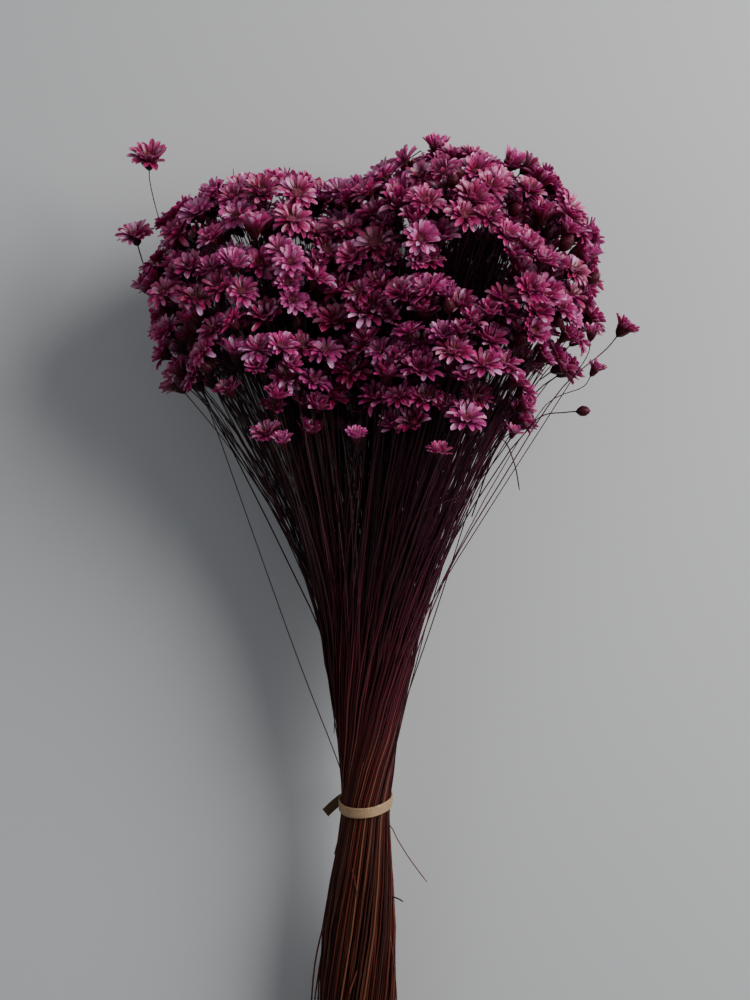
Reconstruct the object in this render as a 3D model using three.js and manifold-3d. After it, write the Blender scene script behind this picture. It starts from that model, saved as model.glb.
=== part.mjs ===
// Dried glixia: a bunch of dyed star flowers on thin stems, held by one flat tie and lying on a table.
// Millimetres. The bunch is laid out in its own frame: X across it, Y along the stems from the cut ends to the
// flowers, Z out of its upper side. The group at the end tips it onto the table, which is the plane z = 0.
import * as THREE from "three";
import { mergeVertices } from "three/addons/utils/BufferGeometryUtils.js";
import Module from "manifold-3d";

const wasm = await Module();
wasm.setup();

// Driving dimensions of the bunch
const RADIANS = Math.PI / 180;
const LEAN = 4.4 * RADIANS; // the flowers hold the upper end of the bunch off the table
const TABLE_DEPTH = 17.0; // from the bunch's axis down to the table, at the cut ends
const CENTRE_SHIFT = { x: -1.34, y: -221.07 }; // brings the origin under the middle of the bunch
const SEED = 2029;

// [along, radius] of the stems' outline, and [along, x] of the line that they follow
const OUTLINE = [[0, 18], [87, 15.5], [124, 14.3], [149, 11.7], [162, 10.3], [178, 10.3], [192, 11.9],
  [213, 15.5], [234, 20], [255, 25.7], [276, 32], [297, 40], [318, 50], [339, 62], [388, 86], [440, 93]];
const AXIS_X = [[0, -11], [87, -7.6], [169, -3.9], [234, -1.6], [300, 0], [460, 0]];
const DEPTH_SHARE = 0.64; // the head is shallower than it is wide
const HEAD_RISE = 6; // the head's middle lies this far above the stems' axis

// The packed stems
const CORE_TOP = 256;
const CORE_DOME = [[0, 312], [0.4, 302], [0.75, 281], [1, CORE_TOP]]; // [share of the top's radius, height]
const CORE_NARROWS = 200; // above this the core's crests lie inside the outermost stems, by the next share
const CORE_SHARE = 0.9;
const CORE_RIBS = 18;
const DOME_SIDES = 10;
const RIB_GROOVE = 0.93; // groove radius as a share of the crest radius
// [along, degrees]: how far the stems have turned round the bunch, most of it at the tie
const TWIST = [[0, 132], [94, 92], [164, 62], [172, 54], [198, 19], [228, 0]];
const RIB_LEVELS = [0, 47, 94, 130, 154, 172, 198, 228, CORE_TOP];
const STEM_FOOT = { radius: 0.52, sunk: 11 };
const STEM_TIP_RADIUS = 0.42;
const SEAT_GAP = 0.4; // between a stem's tip and the foot of its flower
const FIRST_BEND = 9; // how far before its flower a stem bends
const MIDDLE = { across: 0.46, along: 0.5 }; // a stem's middle point, as shares of the way to that bend
const ROOT_SPREAD = 0.84;
const ROOT_TRIES = 8;
const ROOT_STEP = 1.1;
const LOOSE_SCRAP = 1;
const STEM_GAP = 0.3; // left round a stem where a petal is cut clear of it
const FLOWER_GAP = 0.45; // left between the flowers of two groups
const SHORTEST_EDGE = 0.04; // shorter edges, left by cuts and joins, are closed up

// The flower head is two rounded lobes, side by side
const LOBES = [
  { x: -46, along: 383, z: 4, halfX: 48, up: 49, down: 84, halfZ: 44, share: 0.42 },
  { x: 33, along: 388, z: HEAD_RISE, halfX: 61, up: 53, down: 84, halfZ: 50, share: 0.58 },
];
const LOWEST_DIRECTION = -0.75; // how far down a lobe's side the flowers go, as the sine of the latitude
const SIDE_LOWEST_DIRECTION = -0.45;
const SIDE_START = 62;
const LOBE_TAPER = 0.22;
const HEAD_BOTTOM = 318;
const SHELL = { inner: 0.85, outer: 1.03 }; // where flowers may lie, as a share of the lobe's size
const DARK_GAPS = [
  { x: 39, along: 391, halfX: 15, halfAlong: 17 },
  { x: -14, along: 367, halfX: 10, halfAlong: 7 },
];
const GAP_FLOOR = -20; // the gaps go down to here

// Flowers
const GROUPS = 44;
const GROUPED_FLOWERS = 254;
const GROUP_MOST = 9;
const SEED_TRIES = 30;
const GROW_TRIES = 60;
const ROOMY = 5; // a gap beyond which more room counts for nothing
const UNDER = { below: -10, share: 0.62, gap: 2.2 }; // fewer flowers on the side that lies on the table
// A flower faces out of the head by the first share, with that much of the rise, and along its stem by the last
const OUTWARD = { share: 0.55, rise: 0.3 };
const STEMWARD = { middle: 0.55, rise: -0.35 };
const STEM_SLOPE = { across: 0.5, along: 130 }; // the stems' slope at a place in the head, for each mm across
const LEAST_FACING = 0.6; // cosine between a flower's facing and the plain one there
const FIRST_TILT = 0.5;
// The lowest way that a flower faces, as a sine, and the height up to which it is a near one
const LOWEST_FACING = { near: -0.2, far: -0.75, height: 26 };
const SETTLED = { below: 7, at: -0.5 }; // a rim that would be lower than the one is set down to the other
const DEEPEST_RIM = -0.7;
const FOREIGN_CLEARANCE = 0.84; // centre distance between groups, as a share of the two radii
const OWN_CLEARANCE = 0.74;
const PETALS = 5;
const LOOSE_PETALS = 9;
// Shape of a flower as shares of its radius: petal tips, valleys between them, heart, and the foot of its cup
const KINDS = {
  open: { tipOut: 1, tipUp: 0.1, valleyOut: 0.64, valleyUp: 0, heartUp: 0.12, foot: -0.6, graftUp: -0.09 },
  cup: { tipOut: 0.86, tipUp: 0.42, valleyOut: 0.62, valleyUp: 0.2, heartUp: 0.05, foot: -0.62, graftUp: 0 },
  bud: { tipOut: 0.42, tipUp: 0.95, valleyOut: 0.62, valleyUp: 0.15, heartUp: 0.8, foot: -0.8, graftUp: 0 },
};
// How kinds are drawn, with their least and greatest radius
const DRAWN_KINDS = [
  { upTo: 0.64, kind: "open", radii: [6, 8.2] },
  { upTo: 0.96, kind: "cup", radii: [5.4, 6.8] },
  { upTo: 1, kind: "bud", radii: [3.6, 4.6] },
];
const FIRST_OPEN = 0.7; // share of the groups' first flowers that are open
const FIRST_RADII = [6.4, 7.8];
const GRAFT_OUT = 0.36; // where a neighbour's petal tip sinks into a flower, as a share of its radius
const GRAFT_DIPS = [-8, 26]; // degrees that a neighbour is turned away by

// Flowers that stand clear of the head, by hand: place, facing, radius, kind, and points that the stem passes
const LOOSE_FLOWERS = [
  { at: [-94, 439, 8], facing: [0.05, 0.78, 0.62], radius: 8.6, kind: "open", via: [[-87, 404, 4]] },
  { at: [-99, 406, 14], facing: [-0.15, 0.74, 0.64], radius: 7.4, kind: "open", via: [[-93, 386, 8]] },
  { at: [-85, 366, 20], facing: [-0.6, 0.5, 0.6], radius: 6.6, kind: "open",
    via: [[-68, 333, 14], [-54, 293, 12], [-31, 228, 8], [-16.5, 190, 3]], start: [-12.2, 177.5, 1] },
  { at: [-59, 341, 34], facing: [-0.3, 0.75, 0.58], radius: 6, kind: "cup", via: [] },
  { at: [-37, 320, 38], facing: [-0.1, 0.85, 0.5], radius: 5, kind: "cup", via: [] },
  { at: [-7.5, 322, 46], facing: [0, 0.86, 0.5], radius: 5, kind: "cup", via: [] },
  { at: [25.6, 316, 44], facing: [0.1, 0.9, 0.4], radius: 5.4, kind: "open", via: [] },
  { at: [55.5, 324, 34], facing: [0.3, 0.85, 0.4], radius: 4.2, kind: "cup", via: [] },
  { at: [88.5, 365, 22], facing: [0.12, 0.95, 0.25], radius: 5, kind: "cup", via: [[80, 345, 18]] },
  { at: [103, 368, 10], facing: [0.62, 0.75, 0.1], radius: 6.4, kind: "cup",
    via: [[78, 344, 10], [52, 304, 8], [29, 264, 6]], start: [7, 202, 2] },
  { at: [89.5, 350, 24], facing: [0.5, 0.82, 0.25], radius: 4.8, kind: "cup", via: [[70, 336, 20]] },
  { at: [84, 333, 30], facing: [1, 0.08, 0.1], radius: 3.2, kind: "bud", via: [[66, 330, 28]] },
];
// The tie: a flat band round the packed stems, lower in front and to the left, and its two ends crossed behind,
// by hand from the middle of the band
const TIE = { along: 170.5, width: 4.2, inner: 10.8, thick: 0.6, slope: -0.3, tilt: 0.1, segments: 28 };
const TIE_ENDS = [
  [[-6, 172, -9.3], [-10, 170.4, -8.4], [-13.6, 167.8, -7.4], [-17.2, 164.6, -6]],
  [[0.8, 174, -11.1], [4.6, 176, -12.1], [7.2, 179.4, -13]],
];
// Bare and broken stems, by hand
const BARE_STEMS = [
  [[3.5, 163, 1.5], [9.5, 155, 6], [15, 148, 8], [21.5, 138, 9]],
  [[-16, 278, 2], [-42, 345, 4], [-58, 412, 6], [-59, 435, 8]],
  [[-15.5, 140, -6], [-21, 120, -9], [-25.5, 100, -11], [-28, 70, -12]],
];

const PLAIN_SIDES = 3;
const FLOWER_COLOURS = ["#8e2f5c", "#7c2750", "#a23c6c", "#6c2146"];
const FLOWER_ROUGHNESS = 0.6;
const STEM_COLOUR = "#3a1512";
const STEM_ROUGHNESS = 0.7;
const TIE_COLOUR = "#b3946a";
const TIE_ROUGHNESS = 0.8;

// Small helpers
function randomStream(seed) {
  let state = seed >>> 0;
  return () => {
    state = (Math.imul(state, 1664525) + 1013904223) >>> 0;
    return state / 4294967296;
  };
}

function lookUp(table, at) {
  for (let i = 1; i < table.length; i++) {
    const [a, va] = table[i - 1];
    const [b, vb] = table[i];
    if (at <= b) return va + ((vb - va) * (Math.max(at, a) - a)) / (b - a);
  }
  return table[table.length - 1][1];
}

const vector = (x, y, z) => new THREE.Vector3(x, y, z);
const fromList = (list) => vector(list[0], list[1], list[2]);
const mix = (a, b, t) => a + (b - a) * t;

// Height of a point of the bunch above the table, and the upward direction in the bunch's frame
const heightOf = (p) => p.z * Math.cos(LEAN) + p.y * Math.sin(LEAN) + TABLE_DEPTH * Math.cos(LEAN);
const UPWARD = vector(0, Math.sin(LEAN), Math.cos(LEAN));

// Two directions square to a facing, the same for every flower that faces so
function sideways(facing) {
  const reference = Math.abs(facing.y) < 0.9 ? vector(0, 1, 0) : vector(1, 0, 0);
  const first = reference.cross(facing).normalize();
  return [first, facing.clone().cross(first)];
}

// Where the flowers lie
// A point's size relative to a lobe: 1 on its surface, less inside
function lobeShare(lobe, p) {
  const rise = p.y - lobe.along;
  const latitude = rise > 0 ? rise / lobe.up : rise / lobe.down;
  const taper = latitude < 0 ? 1 + LOBE_TAPER * latitude : 1;
  const dx = (p.x - lobe.x) / (lobe.halfX * taper);
  const dz = (p.z - lobe.z) / (lobe.halfZ * taper);
  return Math.sqrt(dx * dx + dz * dz + latitude * latitude);
}

const headShare = (p) => Math.min(lobeShare(LOBES[0], p), lobeShare(LOBES[1], p));

function nearestLobe(p) {
  return lobeShare(LOBES[0], p) < lobeShare(LOBES[1], p) ? LOBES[0] : LOBES[1];
}

// The way that the stems run at a place in the head
const alongStem = (p) => vector(p.x * STEM_SLOPE.across, STEM_SLOPE.along, p.z * STEM_SLOPE.across).normalize();

// The direction that a flower at p faces before its own small tilt: out of the head and along its stem
function plainFacing(p) {
  const lobe = nearestLobe(p);
  const half = p.y > lobe.along ? lobe.up : lobe.down;
  const latitude = (p.y - lobe.along) / half;
  const outward = vector(
    (p.x - lobe.x) / lobe.halfX ** 2,
    (OUTWARD.rise * latitude) / half,
    (p.z - lobe.z) / lobe.halfZ ** 2,
  ).normalize();
  const stemward = STEMWARD.middle + STEMWARD.rise * latitude;
  return outward.multiplyScalar(OUTWARD.share).add(alongStem(p).multiplyScalar(stemward)).normalize();
}

// Flowers near the table lie on their sides rather than face down into it
function turnFromTable(facing, p) {
  const low = heightOf(p) < LOWEST_FACING.height ? LOWEST_FACING.near : LOWEST_FACING.far;
  const down = facing.dot(UPWARD);
  if (down < low) facing.addScaledVector(UPWARD, low - down).normalize();
  return facing;
}

function lowestPoint(centre, facing, radius, kind) {
  const shape = KINDS[kind];
  const up = facing.dot(UPWARD);
  const rim = radius * (shape.tipUp * up - shape.tipOut * Math.sqrt(Math.max(0, 1 - up * up)));
  return heightOf(centre) + Math.min(rim, shape.foot * radius * up);
}

function allowed(p) {
  if (p.y < HEAD_BOTTOM) return false;
  const lobe = nearestLobe(p);
  const latitude = (p.y - lobe.along) / lobe.down;
  if (latitude < LOWEST_DIRECTION) return false;
  if (Math.abs(p.x) > SIDE_START && latitude < SIDE_LOWEST_DIRECTION) return false;
  for (const gap of DARK_GAPS) {
    const dx = (p.x - gap.x) / gap.halfX;
    const dy = (p.y - gap.along) / gap.halfAlong;
    if (p.z > GAP_FLOOR && dx * dx + dy * dy < 1) return false;
  }
  return true;
}

function drawKind(random) {
  const draw = random();
  const { kind, radii } = DRAWN_KINDS.find((drawn) => draw < drawn.upTo);
  return { kind, radius: mix(radii[0], radii[1], random()) };
}

// A group's first flower, somewhere in the shell of the head
function drawSeed(random) {
  const lobe = random() < LOBES[0].share ? LOBES[0] : LOBES[1];
  const latitude = mix(LOWEST_DIRECTION, 1, random());
  const turn = random() * 2 * Math.PI;
  const depth = 1 - (1 - SHELL.inner) * random() ** 2;
  const ring = Math.sqrt(1 - latitude * latitude) * depth * (latitude < 0 ? 1 + LOBE_TAPER * latitude : 1);
  const rise = latitude * depth * (latitude > 0 ? lobe.up : lobe.down);
  return vector(
    lobe.x + lobe.halfX * ring * Math.cos(turn),
    lobe.along + rise,
    lobe.z + lobe.halfZ * ring * Math.sin(turn),
  );
}

function tilted(facing, random) {
  const tilt = vector(random() - 0.5, random() - 0.5, random() - 0.5);
  return facing.addScaledVector(tilt, FIRST_TILT).normalize();
}

function nearestGap(candidate, parent, flowers) {
  let nearest = ROOMY;
  const more = candidate.centre.z < UNDER.below ? UNDER.gap : 0;
  for (const f of flowers) {
    if (f === parent) continue;
    const share = f.group === candidate.group ? OWN_CLEARANCE : FOREIGN_CLEARANCE;
    const gap = candidate.centre.distanceTo(f.centre) - share * (candidate.radius + f.radius) - more;
    if (gap < nearest) nearest = gap;
  }
  return nearest;
}

function placeSeeds(flowers, random) {
  for (let group = 0; group < GROUPS; group++) {
    let best = null;
    let bestDistance = -Infinity;
    for (let i = 0; i < SEED_TRIES; i++) {
      const p = drawSeed(random);
      if (!allowed(p) || headShare(p) < SHELL.inner - 0.02) continue;
      let distance = Infinity;
      for (const f of flowers) distance = Math.min(distance, p.distanceTo(f.centre));
      if (p.z < UNDER.below) distance *= UNDER.share;
      if (distance > bestDistance) {
        bestDistance = distance;
        best = p;
      }
    }
    const radius = mix(FIRST_RADII[0], FIRST_RADII[1], random());
    const kind = random() < FIRST_OPEN ? "open" : "cup";
    const facing = turnFromTable(tilted(plainFacing(best), random), best);
    // A flower near the table rests its rim on it
    const low = lowestPoint(best, facing, radius, kind);
    if (low < SETTLED.below) best.addScaledVector(UPWARD, SETTLED.at - low);
    flowers.push({ centre: best, facing, spin: random() * 2 * Math.PI, radius, kind, group });
  }
}

// One more flower for a group: one of its petal tips sinks into the cup of a flower that is there already
function drawNeighbour(parent, random) {
  const { kind, radius } = drawKind(random);
  // Halfway between a petal's tip and a valley, where the neighbour's tip meets a single facet
  const around = parent.spin + ((Math.floor(random() * 2 * PETALS) + 0.5) * Math.PI) / PETALS;
  const dip = mix(GRAFT_DIPS[0], GRAFT_DIPS[1], random()) * RADIANS;
  const [first, second] = sideways(parent.facing);
  const out = first.multiplyScalar(Math.cos(around)).addScaledVector(second, Math.sin(around));
  const away = out.clone().multiplyScalar(Math.cos(dip)).addScaledVector(parent.facing, -Math.sin(dip));
  const facing = parent.facing.clone().multiplyScalar(Math.cos(dip)).addScaledVector(out, Math.sin(dip));
  const shape = KINDS[kind];
  const centre = parent.centre.clone()
    .addScaledVector(out, GRAFT_OUT * parent.radius)
    .addScaledVector(parent.facing, KINDS[parent.kind].graftUp * parent.radius)
    .addScaledVector(away, shape.tipOut * radius)
    .addScaledVector(facing, -shape.tipUp * radius);
  const [e1, e2] = sideways(facing);
  const spin = Math.atan2(-away.dot(e2), -away.dot(e1));
  return { centre, facing, spin, radius, kind, group: parent.group };
}

function fitsIn(candidate) {
  const { centre, facing, radius, kind } = candidate;
  const share = headShare(centre);
  if (share < SHELL.inner || share > SHELL.outer || !allowed(centre)) return false;
  if (lowestPoint(centre, facing, radius, kind) < DEEPEST_RIM) return false;
  return facing.dot(plainFacing(centre)) > LEAST_FACING;
}

function growGroups(flowers, random) {
  const members = Array.from({ length: GROUPS }, (_, g) => flowers.filter((f) => f.group === g));
  let left = GROUPED_FLOWERS - GROUPS;
  let grew = true;
  while (left > 0 && grew) {
    grew = false;
    for (let group = 0; group < GROUPS && left > 0; group++) {
      if (members[group].length >= GROUP_MOST) continue;
      let best = null;
      let bestGap = 0;
      for (let i = 0; i < GROW_TRIES; i++) {
        const parent = members[group][Math.floor(random() * members[group].length)];
        const candidate = drawNeighbour(parent, random);
        if (parent.kind === "bud" || !fitsIn(candidate)) continue;
        const gap = nearestGap(candidate, parent, flowers);
        if (gap > bestGap) {
          bestGap = gap;
          best = candidate;
        }
      }
      if (!best) continue;
      members[group].push(best);
      flowers.push(best);
      left -= 1;
      grew = true;
    }
  }
}

function layOutFlowers() {
  const random = randomStream(SEED);
  const flowers = LOOSE_FLOWERS.map((loose, i) => ({
    centre: fromList(loose.at),
    facing: fromList(loose.facing).normalize(),
    spin: i,
    radius: loose.radius,
    kind: loose.kind,
    via: loose.via,
    start: loose.start,
    group: -1 - i,
  }));
  placeSeeds(flowers, random);
  growGroups(flowers, random);
  return flowers;
}

// How the stems run
const coreRadius = (level) => lookUp(OUTLINE, level) * (level > CORE_NARROWS ? CORE_SHARE : 1);

const footOf = (flower) => flower.centre.clone()
  .addScaledVector(flower.facing, KINDS[flower.kind].foot * flower.radius - SEAT_GAP);

// Where a stem stands among the others: outer stems end low in the head and inner ones at its top
function standing(foot) {
  const rim = lookUp(OUTLINE, foot.y);
  return vector(foot.x / rim, 0, (foot.z - HEAD_RISE) / (rim * DEPTH_SHARE));
}

// The start of a stem, sunk in the dome at a share of its radius
function rootAt(share) {
  const spread = share.clone().clampLength(0, ROOT_SPREAD);
  const level = lookUp(CORE_DOME, spread.length()) - STEM_FOOT.sunk;
  const radius = coreRadius(CORE_TOP);
  return vector(lookUp(AXIS_X, CORE_TOP) + spread.x * radius, level, spread.z * radius);
}

function movedRoot(root, push) {
  const radius = coreRadius(CORE_TOP);
  const x = root.x + push.x - lookUp(AXIS_X, CORE_TOP);
  return rootAt(vector(x / radius, 0, (root.z + push.z) / radius));
}

function routeOf(flower, order) {
  const foot = footOf(flower);
  const bend = foot.clone()
    .addScaledVector(flower.facing, -FIRST_BEND)
    .addScaledVector(alongStem(foot), -FIRST_BEND);
  const root = rootAt(standing(foot).setLength(ROOT_SPREAD * Math.sqrt(order)));
  if (flower.start) root.copy(fromList(flower.start));
  if (flower.via && flower.via.length) return [root, ...flower.via.map(fromList).reverse(), bend, foot];
  const middle = root.clone().lerp(bend, MIDDLE.across).setY(mix(root.y, bend.y, MIDDLE.along));
  return [root, middle, bend, foot];
}

// Stems start spread evenly over the top of the packed ones, in the order of their standing
function layOutRoutes(flowers) {
  const sizes = flowers.map((f) => standing(footOf(f)).length());
  const sorted = [...sizes].sort((a, b) => a - b);
  return flowers.map((f, i) => routeOf(f, (sorted.indexOf(sizes[i]) + 0.5) / flowers.length));
}

// Bends the stems clear of each other and of the flowers that they would run through, by shares of the push
const CLEAR_ROUNDS = 60;
const CLEAR_SHARE = 0.8;
const CLEAR_GAP = 1.1;
const STEM_CLEARANCE = 1.5;
const ROOT_PUSH = 0.4;
const BEND_PUSH = 0.6;
const SHAPE_KEEP = 0.03;
const STRAIGHT_ENOUGH = 1.5;

function nearestOnSegment(a, b, p) {
  const along = b.clone().sub(a);
  const t = Math.min(1, Math.max(0, p.clone().sub(a).dot(along) / along.lengthSq()));
  return [t, a.clone().addScaledVector(along, t)];
}

// Shares along two segments at which they come nearest to each other, and the way from the second to the first
function nearestOfSegments(a, b, c, d) {
  const u = b.clone().sub(a);
  const v = d.clone().sub(c);
  const w = a.clone().sub(c);
  const uu = u.dot(u);
  const uv = u.dot(v);
  const vv = v.dot(v);
  const spread = uu * vv - uv * uv;
  let s = spread > 1e-9 ? (uv * v.dot(w) - vv * u.dot(w)) / spread : 0.5;
  s = Math.min(1, Math.max(0, s));
  const t = Math.min(1, Math.max(0, (v.dot(w) + s * uv) / vv));
  s = Math.min(1, Math.max(0, (t * uv - u.dot(w)) / uu));
  return [s, t, w.addScaledVector(u, s).addScaledVector(v, -t)];
}

// Spreads stems that touch each other
function spreadRoutes(routes, pushes) {
  const boxes = routes.map((route) => new THREE.Box3().setFromPoints(route).expandByScalar(STEM_CLEARANCE / 2));
  for (let i = 0; i < routes.length; i++) {
    for (let j = i + 1; j < routes.length; j++) {
      if (!boxes[i].intersectsBox(boxes[j])) continue;
      for (let k = 1; k < routes[i].length; k++) {
        for (let m = 1; m < routes[j].length; m++) {
          const [a, b] = [routes[i][k - 1], routes[i][k]];
          const [c, d] = [routes[j][m - 1], routes[j][m]];
          if (Math.max(a.y, b.y) + 2 < Math.min(c.y, d.y)) continue;
          if (Math.max(c.y, d.y) + 2 < Math.min(a.y, b.y)) continue;
          const [s, t, apart] = nearestOfSegments(a, b, c, d);
          const distance = apart.length();
          if (distance >= STEM_CLEARANCE) continue;
          apart.multiplyScalar((0.5 * (STEM_CLEARANCE - distance)) / Math.max(distance, 0.05));
          pushes[i][k - 1].addScaledVector(apart, 1 - s);
          pushes[i][k].addScaledVector(apart, s);
          pushes[j][m - 1].addScaledVector(apart, t - 1);
          pushes[j][m].addScaledVector(apart, -t);
        }
      }
    }
  }
}

function clearRoutes(routes, flowers) {
  const plain = routes.map((route) => route.map((p) => p.clone()));
  const bodies = flowers.map((f) => f.centre.clone().addScaledVector(f.facing, -0.1 * f.radius));
  for (let round = 0; round < CLEAR_ROUNDS; round++) {
    const pushes = routes.map((route) => route.map(() => vector(0, 0, 0)));
    spreadRoutes(routes, pushes);
    routes.forEach((route, i) => {
      const push = pushes[i];
      for (let k = 1; k < route.length; k++) {
        for (let j = 0; j < flowers.length; j++) {
          if (j === i) continue;
          const keep = CLEAR_SHARE * flowers[j].radius + CLEAR_GAP;
          const [t, near] = nearestOnSegment(route[k - 1], route[k], bodies[j]);
          const away = near.sub(bodies[j]);
          const distance = away.length();
          if (distance >= keep) continue;
          away.multiplyScalar((keep - distance) / Math.max(distance, 0.01));
          push[k - 1].addScaledVector(away, 1 - t);
          push[k].addScaledVector(away, t);
        }
      }
      if (!flowers[i].start) route[0].copy(movedRoot(route[0], push[0].multiplyScalar(ROOT_PUSH)));
      for (let k = 1; k < route.length - 1; k++) {
        route[k].addScaledVector(push[k], BEND_PUSH);
        route[k].lerp(plain[i][k], SHAPE_KEEP);
      }
    });
  }
}

// A route without the points that hardly bend it
function plainRoute(route) {
  const kept = [route[0]];
  for (let k = 1; k < route.length - 1; k++) {
    const [, near] = nearestOnSegment(kept[kept.length - 1], route[k + 1], route[k]);
    if (near.distanceTo(route[k]) > STRAIGHT_ENOUGH) kept.push(route[k]);
  }
  kept.push(route[route.length - 1]);
  return kept;
}

// Solids
function solidFrom(geometry) {
  const bare = geometry.clone();
  bare.deleteAttribute("normal");
  bare.deleteAttribute("uv");
  const merged = mergeVertices(bare, 1e-4);
  return new wasm.Manifold(new wasm.Mesh({
    numProp: 3,
    vertProperties: merged.attributes.position.array,
    triVerts: new Uint32Array(merged.index.array),
  }));
}

function geometryFrom(solid) {
  const mesh = solid.getMesh();
  const geometry = new THREE.BufferGeometry();
  geometry.setAttribute("position", new THREE.BufferAttribute(new Float32Array(mesh.vertProperties), 3));
  geometry.setIndex(new THREE.BufferAttribute(new Uint32Array(mesh.triVerts), 1));
  geometry.computeVertexNormals();
  return geometry;
}

function indexedGeometry(points, faces) {
  const geometry = new THREE.BufferGeometry().setFromPoints(points);
  geometry.setIndex(faces.flat());
  return geometry;
}

// A flower: a ring of petal tips and valleys, closed by its heart above and the foot of its cup below
function flowerGeometry(flower, petals, grown = 0) {
  const shape = KINDS[flower.kind];
  const size = flower.radius + grown;
  const [e1, e2] = sideways(flower.facing);
  const place = (angle, out, up) => flower.centre.clone()
    .addScaledVector(e1, Math.cos(angle) * out * size)
    .addScaledVector(e2, Math.sin(angle) * out * size)
    .addScaledVector(flower.facing, up * size);
  const points = [place(0, 0, shape.foot), place(0, 0, shape.heartUp)];
  for (let k = 0; k < petals; k++) {
    const angle = flower.spin + (2 * Math.PI * k) / petals;
    points.push(place(angle, shape.tipOut, shape.tipUp));
    points.push(place(angle + Math.PI / petals, shape.valleyOut, shape.valleyUp));
  }
  const faces = [];
  for (let k = 0; k < 2 * petals; k++) {
    const here = 2 + k;
    const next = 2 + ((k + 1) % (2 * petals));
    faces.push([1, here, next], [0, next, here]);
  }
  return indexedGeometry(points, faces);
}

// A stem: a tapered rod of few sides along a list of points
function stemGeometry(route, footRadius, tipRadius) {
  const points = [];
  const faces = [];
  const last = route.length - 1;
  route.forEach((p, k) => {
    const before = route[Math.max(k - 1, 0)];
    const after = route[Math.min(k + 1, last)];
    const [e1, e2] = sideways(after.clone().sub(before).normalize());
    const radius = mix(footRadius, tipRadius, k / last);
    for (let i = 0; i < PLAIN_SIDES; i++) {
      const angle = (2 * Math.PI * i) / PLAIN_SIDES;
      points.push(p.clone()
        .addScaledVector(e1, Math.cos(angle) * radius)
        .addScaledVector(e2, Math.sin(angle) * radius));
    }
  });
  for (let k = 0; k < last; k++) {
    for (let i = 0; i < PLAIN_SIDES; i++) {
      const a = k * PLAIN_SIDES + i;
      const b = k * PLAIN_SIDES + ((i + 1) % PLAIN_SIDES);
      faces.push([a, b, b + PLAIN_SIDES], [a, b + PLAIN_SIDES, a + PLAIN_SIDES]);
    }
  }
  const end = last * PLAIN_SIDES;
  faces.push([2, 1, 0], [end, end + 1, end + 2]);
  return indexedGeometry(points, faces);
}

// The packed stems from the cut ends up past the tie, as ribs that turn round the bunch
function coreGeometry() {
  const profile = RIB_LEVELS.map((level) => new THREE.Vector2(coreRadius(level), level));
  profile.unshift(new THREE.Vector2(0, 0));
  profile.push(new THREE.Vector2(0, CORE_TOP));
  const geometry = new THREE.LatheGeometry(profile, 2 * CORE_RIBS);
  const place = geometry.attributes.position;
  for (let i = 0; i < place.count; i++) {
    const column = Math.floor(i / profile.length) % (2 * CORE_RIBS);
    const along = place.getY(i);
    const radius = Math.hypot(place.getX(i), place.getZ(i)) * (column % 2 ? RIB_GROOVE : 1);
    const angle = (column * Math.PI) / CORE_RIBS - lookUp(TWIST, along) * RADIANS;
    place.setXYZ(i, lookUp(AXIS_X, along) + radius * Math.sin(angle), along, radius * Math.cos(angle));
  }
  return geometry;
}

// The rounded top of the packed stems, each ring turned half a step from the one below
function domeGeometry() {
  const top = CORE_DOME.map(([share, level]) => new THREE.Vector2(share * coreRadius(CORE_TOP), level));
  top[top.length - 1].x *= RIB_GROOVE;
  const profile = [new THREE.Vector2(0, CORE_TOP - 8), ...top.reverse()];
  const geometry = new THREE.LatheGeometry(profile, DOME_SIDES);
  const place = geometry.attributes.position;
  for (let i = 0; i < place.count; i++) {
    const p = vector(0, 0, 0).fromBufferAttribute(place, i);
    p.applyAxisAngle(vector(0, 1, 0), ((i % profile.length) * Math.PI) / DOME_SIDES);
    place.setXYZ(i, p.x, p.y, p.z);
  }
  return geometry.translate(lookUp(AXIS_X, CORE_TOP), 0, 0);
}

function tableSolid() {
  const box = new THREE.BoxGeometry(600, 900, 100);
  const matrix = new THREE.Matrix4().makeRotationX(-LEAN);
  const middle = UPWARD.clone().multiplyScalar(-50 - TABLE_DEPTH * Math.cos(LEAN));
  matrix.setPosition(middle);
  return solidFrom(box.applyMatrix4(matrix));
}

// A flat strip along a list of points, its width along the bunch
function stripGeometry(points, width, thick) {
  const corners = [];
  const faces = [];
  const last = points.length - 1;
  points.forEach((p, k) => {
    const run = points[Math.min(k + 1, last)].clone().sub(points[Math.max(k - 1, 0)]).normalize();
    const across = vector(0, 1, 0).addScaledVector(run, -run.y).normalize();
    const out = run.cross(across);
    for (const [a, b] of [[-1, -1], [1, -1], [1, 1], [-1, 1]]) {
      corners.push(p.clone().addScaledVector(across, (a * width) / 2).addScaledVector(out, (b * thick) / 2));
    }
  });
  for (let k = 0; k < last; k++) {
    for (let i = 0; i < 4; i++) {
      const here = 4 * k + i;
      const next = 4 * k + ((i + 1) % 4);
      faces.push([here, next, next + 4], [here, next + 4, here + 4]);
    }
  }
  const end = 4 * last;
  faces.push([2, 1, 0], [3, 2, 0], [end, end + 1, end + 2], [end, end + 2, end + 3]);
  return indexedGeometry(corners, faces);
}

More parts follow.
